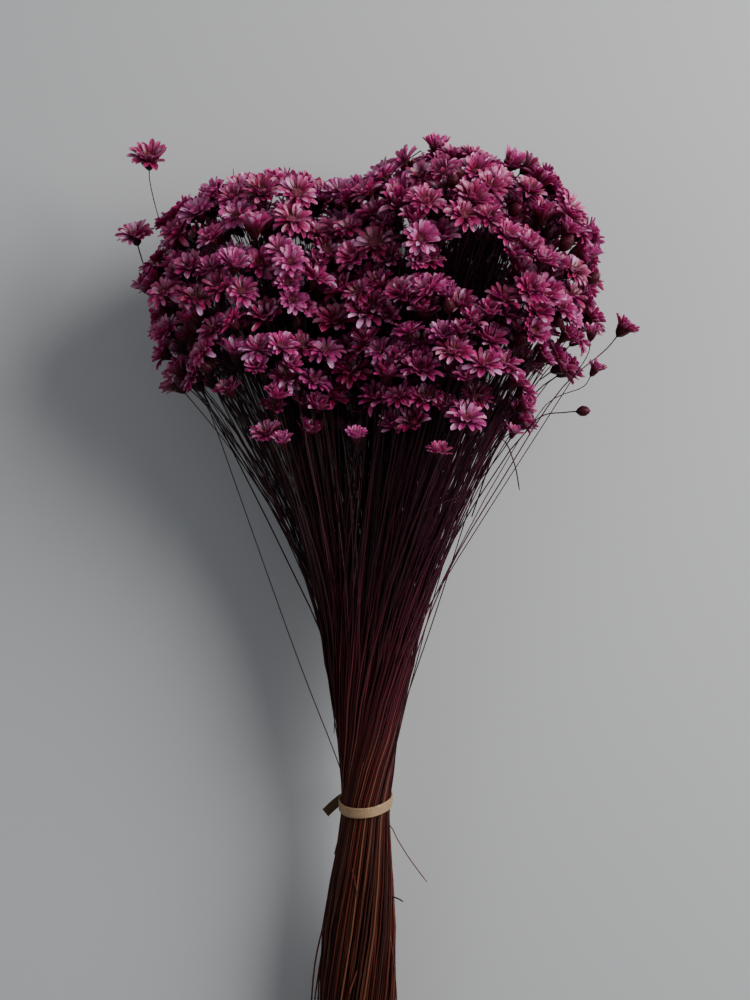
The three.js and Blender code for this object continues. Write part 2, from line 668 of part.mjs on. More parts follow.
function tieSolid() {
  const half = TIE.width / 2;
  const outer = TIE.inner + TIE.thick;
  const section = [[TIE.inner, -half], [outer, -half], [outer, half], [TIE.inner, half], [TIE.inner, -half]];
  const band = new THREE.LatheGeometry(section.map(([r, y]) => new THREE.Vector2(r, y)), TIE.segments);
  const lean = new THREE.Matrix4().set(1, 0, 0, 0, TIE.tilt, 1, TIE.slope, 0, 0, 0, 1, 0, 0, 0, 0, 1);
  band.applyMatrix4(lean);
  const x = lookUp(AXIS_X, TIE.along);
  band.translate(x, TIE.along, 0);
  const ends = TIE_ENDS.map((end) => {
    const points = end.map(([dx, y, z]) => vector(x + dx, y, z));
    return solidFrom(stripGeometry(points, TIE.width, TIE.thick));
  });
  return wasm.Manifold.union([solidFrom(band), ...ends]);
}

// Assembly
const table = tableSolid();
const flowers = layOutFlowers();
const curves = layOutRoutes(flowers);
clearRoutes(curves, flowers);
const routes = curves.map(plainRoute);

const stemSolid = (route, gap = 0) =>
  solidFrom(stemGeometry(route, STEM_FOOT.radius + gap, STEM_TIP_RADIUS + gap));

const largestBody = (solid) => solid.decompose().sort((a, b) => b.volume() - a.volume())[0];

const holds = (box, p) =>
  box.min[0] < p.x + 1 && p.x - 1 < box.max[0] &&
  box.min[1] < p.y + 1 && p.y - 1 < box.max[1] &&
  box.min[2] < p.z + 1 && p.z - 1 < box.max[2];

// All stems as one body. A root that doesn't join the packed stems is sunk deeper.
function joinedStems(rods) {
  const core = solidFrom(coreGeometry()).add(solidFrom(domeGeometry()));
  const pieces = rods.map((rod) => stemSolid(rod));
  let joined = core;
  for (let k = 0; k < ROOT_TRIES; k++) {
    joined = wasm.Manifold.union([core, ...pieces]);
    const bodies = joined.decompose().sort((a, b) => b.volume() - a.volume());
    const loose = bodies.slice(1).filter((body) => body.volume() > LOOSE_SCRAP);
    if (!loose.length) break;
    rods.forEach((rod, i) => {
      const tip = rod[rod.length - 1];
      if (!loose.some((body) => holds(body.boundingBox(), tip))) return;
      rod[0].add(rod[0].clone().sub(rod[1]).setLength(ROOT_STEP));
      pieces[i] = stemSolid(rod);
    });
  }
  return largestBody(largestBody(joined).subtract(table));
}

function cutClear(solid, cutter) {
  const a = solid.boundingBox();
  const b = cutter.boundingBox();
  const meet = [0, 1, 2].every((k) => a.min[k] <= b.max[k] && b.min[k] <= a.max[k]);
  return meet && cutter.intersect(solid).volume() > 1e-6 ? solid.subtract(cutter) : solid;
}

// A group's flowers as one body, cut clear of the other flowers' stems and of the groups made before it
const wideStems = routes.map((route) => stemSolid(route, STEM_GAP));
const made = [];
function flowerGroup(members, petals) {
  let solid = wasm.Manifold.union(members.map((f) => solidFrom(flowerGeometry(f, petals))));
  flowers.forEach((f, i) => {
    if (!members.includes(f)) solid = cutClear(solid, wideStems[i]);
  });
  for (const other of made) {
    const near = members.some((f) => f.centre.distanceTo(other.centre) < f.radius + other.radius + 1);
    if (near) solid = cutClear(solid, solidFrom(flowerGeometry(other, other.petals, FLOWER_GAP)));
  }
  members.forEach((f) => made.push(Object.assign(f, { petals })));
  return largestBody(solid.subtract(table));
}

const bunch = new THREE.Group();
bunch.rotation.x = LEAN;
bunch.position.set(CENTRE_SHIFT.x, CENTRE_SHIFT.y, TABLE_DEPTH * Math.cos(LEAN));

function addPiece(name, solid, colour, roughness) {
  const material = new THREE.MeshStandardMaterial({ color: colour, roughness, metalness: 0 });
  const mesh = new THREE.Mesh(geometryFrom(solid.simplify(SHORTEST_EDGE)), material);
  mesh.name = name;
  bunch.add(mesh);
}

function addFlowers(name, number, members, petals) {
  const colour = FLOWER_COLOURS[number % FLOWER_COLOURS.length];
  addPiece(name + String(number + 1).padStart(2, "0"), flowerGroup(members, petals), colour, FLOWER_ROUGHNESS);
}

addPiece("stems", joinedStems([...routes, ...BARE_STEMS.map((points) => points.map(fromList))]), STEM_COLOUR,
  STEM_ROUGHNESS);
addPiece("tie", tieSolid(), TIE_COLOUR, TIE_ROUGHNESS);
flowers.filter((f) => f.group < 0).forEach((f, i) => addFlowers("loose_flower_", i, [f], LOOSE_PETALS));
for (let group = 0; group < GROUPS; group++) {
  addFlowers("flower_group_", group, flowers.filter((f) => f.group === group), PETALS);
}

const part = new THREE.Group();
part.add(bunch);
export default part;
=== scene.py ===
from math import atan2, cos, inf, pi, sin, sqrt

import bpy
import numpy as np
from mathutils import Matrix, Vector


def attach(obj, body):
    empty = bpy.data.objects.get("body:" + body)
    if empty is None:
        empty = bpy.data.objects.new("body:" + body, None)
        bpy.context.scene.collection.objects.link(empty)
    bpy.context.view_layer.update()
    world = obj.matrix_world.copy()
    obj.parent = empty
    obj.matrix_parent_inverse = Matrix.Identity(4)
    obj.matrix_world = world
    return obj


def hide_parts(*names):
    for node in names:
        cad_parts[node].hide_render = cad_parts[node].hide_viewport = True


norm = np.linalg.norm

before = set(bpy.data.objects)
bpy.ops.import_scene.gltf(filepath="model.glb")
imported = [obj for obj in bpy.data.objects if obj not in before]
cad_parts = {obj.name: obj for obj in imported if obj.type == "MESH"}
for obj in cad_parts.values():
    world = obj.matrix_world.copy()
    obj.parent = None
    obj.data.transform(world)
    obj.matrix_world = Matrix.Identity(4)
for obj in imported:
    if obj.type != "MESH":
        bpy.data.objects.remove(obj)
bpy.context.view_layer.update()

# A bunch of dried glixia. Layout sizes are millimetres in the bunch's own frame: X across it, Y along the
# stems from the cut ends up, Z out of its upper side. place_points() lays them on the table, in metres.
TAU = 2 * pi
RADIANS = pi / 180
LEAN = 4.4 * RADIANS
TABLE_DEPTH = 17.0
CENTRE_SHIFT = (-1.34, -221.07)
SEED = 2029

OUTLINE = [(0, 18), (87, 15.5), (124, 14.3), (149, 11.7), (162, 10.3), (178, 10.3), (192, 11.9), (213, 15.5),
           (234, 20), (255, 25.7), (276, 32), (297, 40), (318, 50), (339, 62), (388, 86), (440, 93)]
AXIS_X = [(0, -11), (87, -7.6), (169, -3.9), (234, -1.6), (300, 0), (460, 0)]
DEPTH_SHARE = 0.64
HEAD_RISE = 6

LOBES = [
    dict(x=-46, along=383, z=4, half_x=48, up=49, down=84, half_z=44),
    dict(x=33, along=388, z=HEAD_RISE, half_x=61, up=53, down=84, half_z=50),
]
FIRST_LOBE_SHARE = 0.42
LOWEST_ALONG = 318
LOWEST_DIRECTION = -0.75
SIDE_LOWEST_DIRECTION = -0.45
SIDE_START = 62
LOBE_TAPER = 0.22
SHELL_INNER = 0.85
SHELL_OUTER = 1.03
SHELL_SLACK = 0.02
# The dark gaps of the head: x, along, half width, half length. Below the last height they are closed.
DARK_GAPS = [(39, 391, 15, 17), (-14, 367, 10, 7)]
DARK_GAP_FLOOR = -20

GROUPS = 44
GROUPED_FLOWERS = 254
GROUP_MOST = 9
# A flower faces out of the head by the first share, with that much of the rise, and along its stem by the
# next two, in the middle of a lobe and more or less of it higher up
OUTWARD_SHARE = 0.55
OUTWARD_RISE = 0.3
STEMWARD_MIDDLE = 0.55
STEMWARD_RISE = -0.35
STEM_RUN = 130.0
# How far down it may face, below this height above the table and over it
NEAR_TABLE = 26
LOWEST_FACING = (-0.2, -0.75)
SEED_TRIES = 30
SEED_SIZES = (6.4, 7.8)
SEED_OPEN = 0.7
SEED_TILT = 0.5
# The bunch rests on the seeds that reach below the first height: they are laid on the second
SEED_LOW = (7, -0.5)
GROW_TRIES = 60
GROW_DIP = (-8, 26)
GROW_LOWEST = -0.7
GROW_FACING = 0.6
ROOMY = 5
UNDER_BELOW = -10
UNDER_SHARE = 0.62
UNDER_GAP = 2.2
FOREIGN_CLEARANCE = 0.84
OWN_CLEARANCE = 0.74
GROUP_PETALS = 5
GRAFT_OUT = 0.36
OPEN_UP_TO = 0.64
CUP_UP_TO = 0.96
KINDS = {
    "open": dict(tip_out=1, tip_up=0.1, foot=-0.6, graft_up=-0.09, sizes=(6, 8.2)),
    "cup": dict(tip_out=0.86, tip_up=0.42, foot=-0.62, graft_up=0, sizes=(5.4, 6.8)),
    "bud": dict(tip_out=0.42, tip_up=0.95, foot=-0.8, graft_up=0, sizes=(3.6, 4.6)),
}

# Flowers that stand clear of the head: place, facing, radius, kind, points that the stem passes, its start
LOOSE_FLOWERS = [
    ([-94, 439, 8], [0.05, 0.78, 0.62], 8.6, "open", [[-87, 404, 4]], None),
    ([-99, 406, 14], [-0.15, 0.74, 0.64], 7.4, "open", [[-93, 386, 8]], None),
    ([-85, 366, 20], [-0.6, 0.5, 0.6], 6.6, "open",
     [[-68, 333, 14], [-54, 293, 12], [-31, 228, 8], [-16.5, 190, 3]], [-12.2, 177.5, 1]),
    ([-59, 341, 34], [-0.3, 0.75, 0.58], 6, "cup", [], None),
    ([-37, 320, 38], [-0.1, 0.85, 0.5], 5, "cup", [], None),
    ([-7.5, 322, 46], [0, 0.86, 0.5], 5, "cup", [], None),
    ([25.6, 316, 44], [0.1, 0.9, 0.4], 5.4, "open", [], None),
    ([55.5, 324, 34], [0.3, 0.85, 0.4], 4.2, "cup", [], None),
    ([88.5, 365, 22], [0.12, 0.95, 0.25], 5, "cup", [[80, 345, 18]], None),
    ([103, 368, 10], [0.62, 0.75, 0.1], 6.4, "cup",
     [[78, 344, 10], [52, 304, 8], [29, 264, 6]], [7, 202, 2]),
    ([89.5, 350, 24], [0.5, 0.82, 0.25], 4.8, "cup", [[70, 336, 20]], None),
    ([84, 333, 30], [1, 0.08, 0.1], 3.2, "bud", [[66, 330, 28]], None),
]
CAD_FLOWERS = GROUPED_FLOWERS + len(LOOSE_FLOWERS)

# Stems with no flower: broken below the tie, bare at the upper left, straying at the lower left and right,
# and hooked at the right of the neck
BARE_STEMS = [
    [[3.5, 163.5, 1.5], [7.2, 159.8, 5], [9.2, 156, 7], [14.1, 148.2, 8], [21.6, 138.2, 9]],
    [[-16, 278, 2], [-42, 345, 4], [-58, 412, 6], [-59, 435, 8]],
    [[-15.5, 140, -6], [-21, 120, -9], [-25.5, 100, -11], [-28, 70, -12]],
    [[-14, 148, 2], [-19.5, 122, 1], [-23.5, 100, -3], [-26.5, 78, -6]],
    [[40, 290, 12], [52.5, 322, 14], [57.5, 312, 15], [59.6, 301, 15]],
    [[6, 118, 5], [8.4, 99, 8], [9.3, 84, 9]],
    [[7, 131.2, 4], [9.5, 130.6, 5], [11.8, 129.4, 5.5]],
    [[9.5, 286, 22], [22, 293.5, 26.5], [35.6, 299, 27]],
    [[-11.4, 166, 5], [-13.2, 180, 5], [-14.4, 190, 4.5], [-16.2, 206, 3.5]],
    [[6.4, 174, 4], [7.8, 184, 5], [8.9, 195, 5.2], [10.6, 203, 5]],
]
# One is broken and kinked in front of the top of the head
KINKED_STEM = [[-5, 402, 28], [2, 421, 38], [8.8, 429.6, 43.5], [18.2, 436, 43], [22.8, 430.4, 43.5]]

# Flowers between those of the solids, most of them further in. For each kind: its share, its radii.
GAP_FLOWERS = 322
GAP_KINDS = {"open": (0.56, (5.8, 8.2)), "cup": (0.39, (5.8, 8.2)), "bud": (0.05, (3.6, 4.4))}
GAP_TRIES = 70
GAP_SHELL = (0.66, 1.0)
# This share of the places on the underside is moved to the upper side
GAP_FRONT = 0.45
GAP_UNDER = -0.1
GAP_TILT = 0.9
GAP_UPWARD_TILT = (0, 0.3, 0)
GAP_LOWEST = 1
LOOSE_ROOM = 7
# The first of them close the back of the head behind its dark gaps, the next ones where it is thin
BEHIND_GAPS = 36
SEE_THROUGH_GAPS = 56
BEHIND_REACH = 1.5
BEHIND_DEPTH = (0.75, 0.95)
# None hangs out at the lower sides of the head
SIDE_EDGE = 45
SIDE_LOWEST = -0.4
# The highest flower, three between the lobes and eight over the furrow below: place, facing, radius, kind
RIM_FLOWERS = [
    ([25.5, 443, 12], [0.1, 0.95, 0.3], 6.6, "cup"),
    ([-15, 424, 16], [-0.15, 0.72, 0.68], 7.2, "open"),
    ([-7, 426, 6], [0.2, 0.8, 0.55], 6.8, "cup"),
    ([-24, 423, 4], [-0.3, 0.8, 0.5], 6.8, "open"),
    ([-16, 369, 36], [-0.1, 0.62, 0.75], 7.6, "open"),
    ([-4, 372, 42], [0.1, 0.7, 0.7], 7.8, "open"),
    ([19, 372.5, 50], [0, 0.75, 0.65], 7, "cup"),
    ([-9, 349, 32], [-0.1, 0.75, 0.6], 8, "open"),
    ([5, 347.5, 40], [0.1, 0.8, 0.55], 7.2, "cup"),
    ([31, 355.5, 49], [0.1, 0.8, 0.6], 7.6, "open"),
    ([-3.5, 361, 40], [-0.15, 0.8, 0.6], 6.8, "cup"),
    ([-20, 356.5, 37], [-0.1, 0.8, 0.6], 7.2, "open"),
]
RIM_SPIN = 0.4

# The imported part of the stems. Away from the tie they sway a little, in a slow and a fast wave.
LOW_LEVELS = [0, 32, 64, 94, 118, 138, 154, 164, 172, 185, 198, 213, 228]
CUT_ENDS = (-1.5, 3.5)
SWAY = (0.3, 1.5)
SWAY_STILL = 169
SWAY_RUN = 60
SWAY_WAVES = ((0.021, 0.067), (0.019, 0.059))
SWAY_FAST_SHARE = 0.4
# The bunch is twisted: how far round each level lies from the level at 228, in degrees
TWIST = [(0, 132), (94, 92), (164, 62), (172, 54), (198, 19), (228, 0)]
UPPER_TWIST = 26
# How much the stems cross above the tie, and how far they bow apart, in mm
CROSSING = 0.13
BOWING = 3.0
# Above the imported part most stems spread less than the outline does, by a share between these
HELD_IN = (0.35, 1.05)
# A stem keeps its heading for a share of its way and meets its flower straight for a share, up to so many mm
LEAVING = 0.36
ARRIVING = (0.2, 24)
FILLER_ARRIVING = 0.25
FOOT_INSIDE = 0.25
BEND_ROUNDS = 14
GOLDEN_ANGLE = 2.3999632

FILLER_STEMS = 472
FILLER_REACH = 0.8
FILLER_LATITUDES = (-0.9, 0.85)
# A share of them ends behind the flowers over the larger dark gap
DARK_SHARE = 0.3
DARK_ENDS = ((16, 400, -34), (64, 428, 16))
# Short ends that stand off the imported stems: how many, from and to where, how long, how far off
SPLINTERS = 26
SPLINTER_RANGE = (20, 226)
SPLINTER_LENGTH = (7, 20)
SPLINTER_RISE = (0.5, 2.2)
SPLINTER_DRIFT = 0.25
SPLINTER_ENDS = (2, 300)
# Radii along the stems. For each kind: its sides, and the share of the radius at its last two points.
STEM_RADIUS = [(0, 0.34), (120, 0.31), (169, 0.29), (230, 0.285), (300, 0.26), (460, 0.24)]
STEM_KINDS = {"flowering": (5, (1, 1.3)), "plain": (4, (1, 1.3)), "stray": (5, (1, 1.3)),
              "filler": (3, (0.8, 0.5)), "bare": (5, (1, 0.7))}

PHOTO_CENTRE = (0, 297)
CAMERA_DISTANCE = 817
LENS_MM = 70
SENSOR_MM = 36
# The lights, in metres: place, width, power, colour
LIGHTS = {
    "window": ((0.86, 0.49, 0.65), 0.95, 20.3, (1.0, 0.99, 0.98)),
    "fill": ((-0.9, 0.1, 0.9), 0.8, 1.6, (0.94, 0.96, 1.0)),
}
LIT_PLACE = (0, 0.1, 0.03)
WORLD_COLOUR = (0.9, 0.94, 1.0, 1)
WORLD_STRENGTH = 0.22
FLOOR_HALF = 6.0


# Layout: the same seeded rule as the solids
def random_stream(seed):
    state = seed & 0xFFFFFFFF

    def draw():
        nonlocal state
        state = (state * 1664525 + 1013904223) & 0xFFFFFFFF
        return state / 4294967296
    return draw


def look_up(table, at):
    for (a, va), (b, vb) in zip(table, table[1:]):
        if at <= b:
            return va + ((vb - va) * (max(at, a) - a)) / (b - a)
    return table[-1][1]


def mix(a, b, t):
    return a + (b - a) * t


def dot(a, b):
    return a[0] * b[0] + a[1] * b[1] + a[2] * b[2]


def cross(a, b):
    return (a[1] * b[2] - a[2] * b[1], a[2] * b[0] - a[0] * b[2], a[0] * b[1] - a[1] * b[0])


def scaled(a, s):
    return (a[0] * s, a[1] * s, a[2] * s)


def moved(a, direction, s):
    return (a[0] + direction[0] * s, a[1] + direction[1] * s, a[2] + direction[2] * s)


def normalized(a):
    return scaled(a, 1 / (sqrt(dot(a, a)) or 1))


def distance(a, b):
    gap = moved(a, b, -1)
    return sqrt(dot(gap, gap))


def turned(x, y, angle):
    return x * cos(angle) - y * sin(angle), x * sin(angle) + y * cos(angle)


UPWARD = (0.0, sin(LEAN), cos(LEAN))


def height_of(p):
    return p[2] * cos(LEAN) + p[1] * sin(LEAN) + TABLE_DEPTH * cos(LEAN)


def sideways(facing):
    reference = (0.0, 1.0, 0.0) if abs(facing[1]) < 0.9 else (1.0, 0.0, 0.0)
    first = normalized(cross(reference, facing))
    return first, cross(facing, first)


def latitude_in(lobe, along):
    rise = along - lobe["along"]
    return rise / lobe["up" if rise > 0 else "down"]


def lobe_share(lobe, p):
    """How far out in a lobe a point is: 1 on its surface."""
    latitude = latitude_in(lobe, p[1])
    taper = 1 + LOBE_TAPER * min(latitude, 0)
    dx = (p[0] - lobe["x"]) / (lobe["half_x"] * taper)
    dz = (p[2] - lobe["z"]) / (lobe["half_z"] * taper)
    return sqrt(dx * dx + dz * dz + latitude * latitude)


def head_share(p):
    return min(lobe_share(LOBES[0], p), lobe_share(LOBES[1], p))


def nearest_lobe(p):
    return LOBES[0] if lobe_share(LOBES[0], p) < lobe_share(LOBES[1], p) else LOBES[1]


def pick_lobe(number):
    return LOBES[0] if number < FIRST_LOBE_SHARE else LOBES[1]


def lobe_point(lobe, latitude, turn, ring, depth):
    """A point in a lobe, ring and depth being shares of its half width and of its half length."""
    rise = latitude * depth * lobe["up" if latitude > 0 else "down"]
    return (lobe["x"] + lobe["half_x"] * ring * cos(turn), lobe["along"] + rise,
            lobe["z"] + lobe["half_z"] * ring * sin(turn))


def shell_point(lobe, latitude, turn, depth):
    ring = sqrt(1 - latitude * latitude) * depth * (1 + LOBE_TAPER * min(latitude, 0))
    return lobe_point(lobe, latitude, turn, ring, depth)


def plain_facing(p):
    lobe = nearest_lobe(p)
    half = lobe["up" if p[1] > lobe["along"] else "down"]
    latitude = latitude_in(lobe, p[1])
    outward = normalized((
        (p[0] - lobe["x"]) / lobe["half_x"] ** 2,
        (OUTWARD_RISE * latitude) / half,
        (p[2] - lobe["z"]) / lobe["half_z"] ** 2,
    ))
    stemward = normalized((p[0] * 0.5, STEM_RUN, p[2] * 0.5))
    share = STEMWARD_MIDDLE + STEMWARD_RISE * latitude
    return normalized(moved(scaled(outward, OUTWARD_SHARE), stemward, share))


def tilted_facing(p, tilt, share):
    """The plain facing at p, tilted, and not too far down."""
    facing = normalized(moved(plain_facing(p), tilt, share))
    low = LOWEST_FACING[0 if height_of(p) < NEAR_TABLE else 1]
    down = dot(facing, UPWARD)
    return normalized(moved(facing, UPWARD, low - down)) if down < low else facing


def lowest_point(centre, facing, radius, kind):
    shape = KINDS[kind]
    up = dot(facing, UPWARD)
    rim = radius * (shape["tip_up"] * up - shape["tip_out"] * sqrt(max(0, 1 - up * up)))
    return height_of(centre) + min(rim, shape["foot"] * radius * up)


def allowed(p):
    lobe = nearest_lobe(p)
    latitude = (p[1] - lobe["along"]) / lobe["down"]
    if p[1] < LOWEST_ALONG or latitude < LOWEST_DIRECTION:
        return False
    if abs(p[0]) > SIDE_START and latitude < SIDE_LOWEST_DIRECTION:
        return False
    clear = [((p[0] - x) / half_x) ** 2 + ((p[1] - along) / half_along) ** 2 >= 1
             for x, along, half_x, half_along in DARK_GAPS]
    return p[2] <= DARK_GAP_FLOOR or all(clear)


def new_flower(centre, facing, spin, radius, kind, group, via=None, start=None):
    return dict(centre=centre, facing=facing, spin=spin, radius=radius, kind=kind, group=group, via=via,
                start=start)


def seed_place(draw):
    """A place for a seed, or None where none may be."""
    lobe = pick_lobe(draw())
    latitude = mix(LOWEST_DIRECTION, 1, draw())
    turn = draw() * TAU
    p = shell_point(lobe, latitude, turn, 1 - (1 - SHELL_INNER) * draw() ** 2)
    return p if allowed(p) and head_share(p) >= SHELL_INNER - SHELL_SLACK else None


def seed_room(p, flowers):
    room = min(distance(p, f["centre"]) for f in flowers)
    return room * UNDER_SHARE if p[2] < UNDER_BELOW else room


def place_seeds(flowers, draw):
    """The first flower of each group, where the shell of the head is emptiest."""
    for group in range(GROUPS):
        places = [seed_place(draw) for _ in range(SEED_TRIES)]
        best = max(filter(None, places), key=lambda p: seed_room(p, flowers))
        radius = mix(*SEED_SIZES, draw())
        kind = "open" if draw() < SEED_OPEN else "cup"
        tilt = (draw() - 0.5, draw() - 0.5, draw() - 0.5)
        facing = tilted_facing(best, tilt, SEED_TILT)
        low = lowest_point(best, facing, radius, kind)
        if low < SEED_LOW[0]:
            best = moved(best, UPWARD, SEED_LOW[1] - low)
        flowers.append(new_flower(best, facing, draw() * TAU, radius, kind, group))


def draw_kind(draw):
    pick = draw()
    kind = "open" if pick < OPEN_UP_TO else "cup" if pick < CUP_UP_TO else "bud"
    return kind, mix(*KINDS[kind]["sizes"], draw())


def draw_neighbour(parent, draw):
    """A flower whose petal tip touches a petal of its parent."""
    kind, radius = draw_kind(draw)
    around = parent["spin"] + ((int(draw() * 2 * GROUP_PETALS) + 0.5) * pi) / GROUP_PETALS
    dip = mix(*GROW_DIP, draw()) * RADIANS
    first, second = sideways(parent["facing"])
    out = moved(scaled(first, cos(around)), second, sin(around))
    away = moved(scaled(out, cos(dip)), parent["facing"], -sin(dip))
    facing = moved(scaled(parent["facing"], cos(dip)), out, sin(dip))
    centre = moved(parent["centre"], out, GRAFT_OUT * parent["radius"])
    centre = moved(centre, parent["facing"], KINDS[parent["kind"]]["graft_up"] * parent["radius"])
    centre = moved(centre, away, KINDS[kind]["tip_out"] * radius)
    centre = moved(centre, facing, -KINDS[kind]["tip_up"] * radius)
    e1, e2 = sideways(facing)
    spin = atan2(-dot(away, e2), -dot(away, e1))
    return new_flower(centre, facing, spin, radius, kind, parent["group"])


def fits_in(candidate):
    centre, facing = candidate["centre"], candidate["facing"]
    if not SHELL_INNER <= head_share(centre) <= SHELL_OUTER or not allowed(centre):
        return False
    if lowest_point(centre, facing, candidate["radius"], candidate["kind"]) < GROW_LOWEST:
        return False
    return dot(facing, plain_facing(centre)) > GROW_FACING


def nearest_gap(candidate, parent, flowers):
    """The least gap between a candidate and the flowers other than its parent, up to ROOMY."""
    nearest = ROOMY
    centre, radius = candidate["centre"], candidate["radius"]
    more = UNDER_GAP if centre[2] < UNDER_BELOW else 0
    for f in flowers:
        if f is not parent:
            share = OWN_CLEARANCE if f["group"] == candidate["group"] else FOREIGN_CLEARANCE
            nearest = min(nearest, distance(centre, f["centre"]) - share * (radius + f["radius"]) - more)
    return nearest


def best_neighbour(own, flowers, draw):
    best, best_gap = None, 0
    for _ in range(GROW_TRIES):
        parent = own[int(draw() * len(own))]
        candidate = draw_neighbour(parent, draw)
        if parent["kind"] == "bud" or not fits_in(candidate):
            continue
        gap = nearest_gap(candidate, parent, flowers)
        if gap > best_gap:
            best, best_gap = candidate, gap
    return best


def grow_groups(flowers, draw):
    """Each group in turn gets one more flower, until there are enough or none fits."""
    members = [[f] for f in flowers if f["group"] >= 0]
    left = GROUPED_FLOWERS - GROUPS
    grew = True
    while left > 0 and grew:
        grew = False
        for own in members:
            best = best_neighbour(own, flowers, draw) if left > 0 and len(own) < GROUP_MOST else None
            if best:
                own.append(best)
                flowers.append(best)
                left -= 1
                grew = True


def lay_out_flowers():
    draw = random_stream(SEED)
    flowers = []
    for i, (at, facing, radius, kind, via, start) in enumerate(LOOSE_FLOWERS):
        flowers.append(new_flower(at, normalized(facing), float(i), radius, kind, -1 - i, via, start))
    place_seeds(flowers, draw)
    grow_groups(flowers, draw)
    return flowers


def behind_gap(rng, number):
    """A point on the underside of the head, behind one of its dark gaps."""
    x, along, half_x, half_along = DARK_GAPS[0 if number % 3 else 1]
    turn = rng.uniform(0, TAU)
    reach = BEHIND_REACH * sqrt(rng.random())
    across, up = x + reach * half_x * cos(turn), along + reach * half_along * sin(turn)
    lobe = nearest_lobe((across, up, 0))
    flat = ((across - lobe["x"]) / lobe["half_x"]) ** 2 + latitude_in(lobe, up) ** 2
    depth = rng.uniform(*BEHIND_DEPTH)
    return (across, up, lobe["z"] - lobe["half_z"] * sqrt(max(0.0, depth ** 2 - flat)))


def gap_place(rng, number):
    """A place for one more flower, or None where none may be."""
    lobe = pick_lobe(rng.random())
    latitude = rng.uniform(LOWEST_DIRECTION, 1)
    turn = rng.uniform(0, TAU)
    if sin(turn) < GAP_UNDER and rng.random() < GAP_FRONT:
        turn = -turn
    p = shell_point(lobe, latitude, turn, mix(*GAP_SHELL, sqrt(rng.random())))
    if number < BEHIND_GAPS:
        p = behind_gap(rng, number)
    elif number < BEHIND_GAPS + SEE_THROUGH_GAPS:
        p = (p[0], p[1], lobe["z"] - abs(p[2] - lobe["z"]))
    low_side = abs(p[0]) > SIDE_EDGE and (p[1] - lobe["along"]) / lobe["down"] < SIDE_LOWEST
    return None if head_share(p) < GAP_SHELL[0] - SHELL_SLACK or low_side or not allowed(p) else p


def gap_room(p, number, radius, spots, sizes):
    """The room at a place, seen from above for the flowers that close the back of the head."""
    if number < BEHIND_GAPS + SEE_THROUGH_GAPS:
        return (norm(spots[:, :2] - p[:2], axis=1) - 0.8 * sizes).min()
    return (norm(spots - p, axis=1) - 0.5 * (sizes + radius)).min() + 1.5 * head_share(p)


def nearest_group(place, flowers):
    grouped = [f for f in flowers if f["group"] >= 0]
    return min(grouped, key=lambda f: distance(place, f["centre"]))["group"]


def fill_gaps(flowers):
    """More flowers, each where the head is emptiest, in the group of the flower nearest to it."""
    rng = np.random.default_rng(12)
    for number in range(GAP_FLOWERS):
        kind = str(rng.choice(list(GAP_KINDS), p=[share for share, _ in GAP_KINDS.values()]))
        radius = rng.uniform(*GAP_KINDS[kind][1])
        spots = np.array([f["centre"] for f in flowers])
        sizes = np.array([f["radius"] + (LOOSE_ROOM if f["group"] < 0 else 0) for f in flowers])
        places = list(filter(None, [gap_place(rng, number) for _ in range(GAP_TRIES)]))
        if not places:
            continue
        best = max(places, key=lambda p: gap_room(p, number, radius, spots, sizes))
        facing = tilted_facing(best, rng.uniform(-0.5, 0.5, 3) + GAP_UPWARD_TILT, GAP_TILT)
        low = lowest_point(best, facing, radius, kind)
        if low < GAP_LOWEST:
            best = moved(best, UPWARD, GAP_LOWEST - low)
        group = nearest_group(best, flowers)
        flowers.append(new_flower(best, facing, rng.uniform(0, TAU), radius, kind, group))
    for place, facing, radius, kind in RIM_FLOWERS:
        group = nearest_group(place, flowers)
        flowers.append(new_flower(place, normalized(facing), RIM_SPIN, radius, kind, group))
    return flowers


# From the bunch's frame in millimetres to the table in metres
def place_points(points):
    p = np.asarray(points, float)
    along, up = turned(p[..., 1], p[..., 2], LEAN)
    placed = [p[..., 0] + CENTRE_SHIFT[0], along + CENTRE_SHIFT[1], up + TABLE_DEPTH * cos(LEAN)]
    return np.stack(placed, -1) / 1000


# Meshes. A face has three or four indices; in an array of faces a triangle's row ends with -1.
TABLE_GAP = 0.0001


def padded(faces):
    return np.array([tuple(face) + (-1,) * (4 - len(face)) for face in faces])


def solid_faces(points, faces):
    """The faces of a closed solid, turned so that they face outwards."""
    volume = sum(np.dot(points[face[0]], np.cross(points[face[i]], points[face[i + 1]]))
                 for face in faces for i in range(1, len(face) - 1))
    return padded([face[::-1] if volume < 0 else face for face in faces])


def tube_faces(rings, sides, base=0, closed=False):
    """Faces between rings of points that follow each other."""
    faces = []
    for k in range(rings if closed else rings - 1):
        here, after = base + k * sides, base + (k + 1) % rings * sides
        for i in range(sides):
            j = (i + 1) % sides
            faces.append((here + i, here + j, after + j, after + i))
    return faces


class Shape:
    """Points, faces and their values, gathered from many solids."""

    def __init__(self):
        self.lists = {}
        self.count = 0

    def add(self, points, faces, **values):
        """Values are given for each point, or one for all; kinds are for the faces."""
        values.update(points=points, faces=np.where(faces < 0, -1, faces + self.count))
        for key, data in values.items():
            if np.ndim(data) == 0:
                data = np.full(len(faces if key == "kinds" else points), data)
            self.lists.setdefault(key, []).append(data)
        self.count += len(points)

    def add_solid(self, points, faces, kind, along, leaf=0.0, uv=None):
        uv = np.zeros((len(points), 2)) if uv is None else uv
        self.add(points, solid_faces(points, faces), kinds=kind, along=along, leaf=leaf, uv=uv)

    def arrays(self):
        return {key: np.concatenate(data) for key, data in self.lists.items()}


def fill_in(items, key, data, kind=np.float32):
    items.foreach_set(key, np.ascontiguousarray(data, kind).reshape(-1))


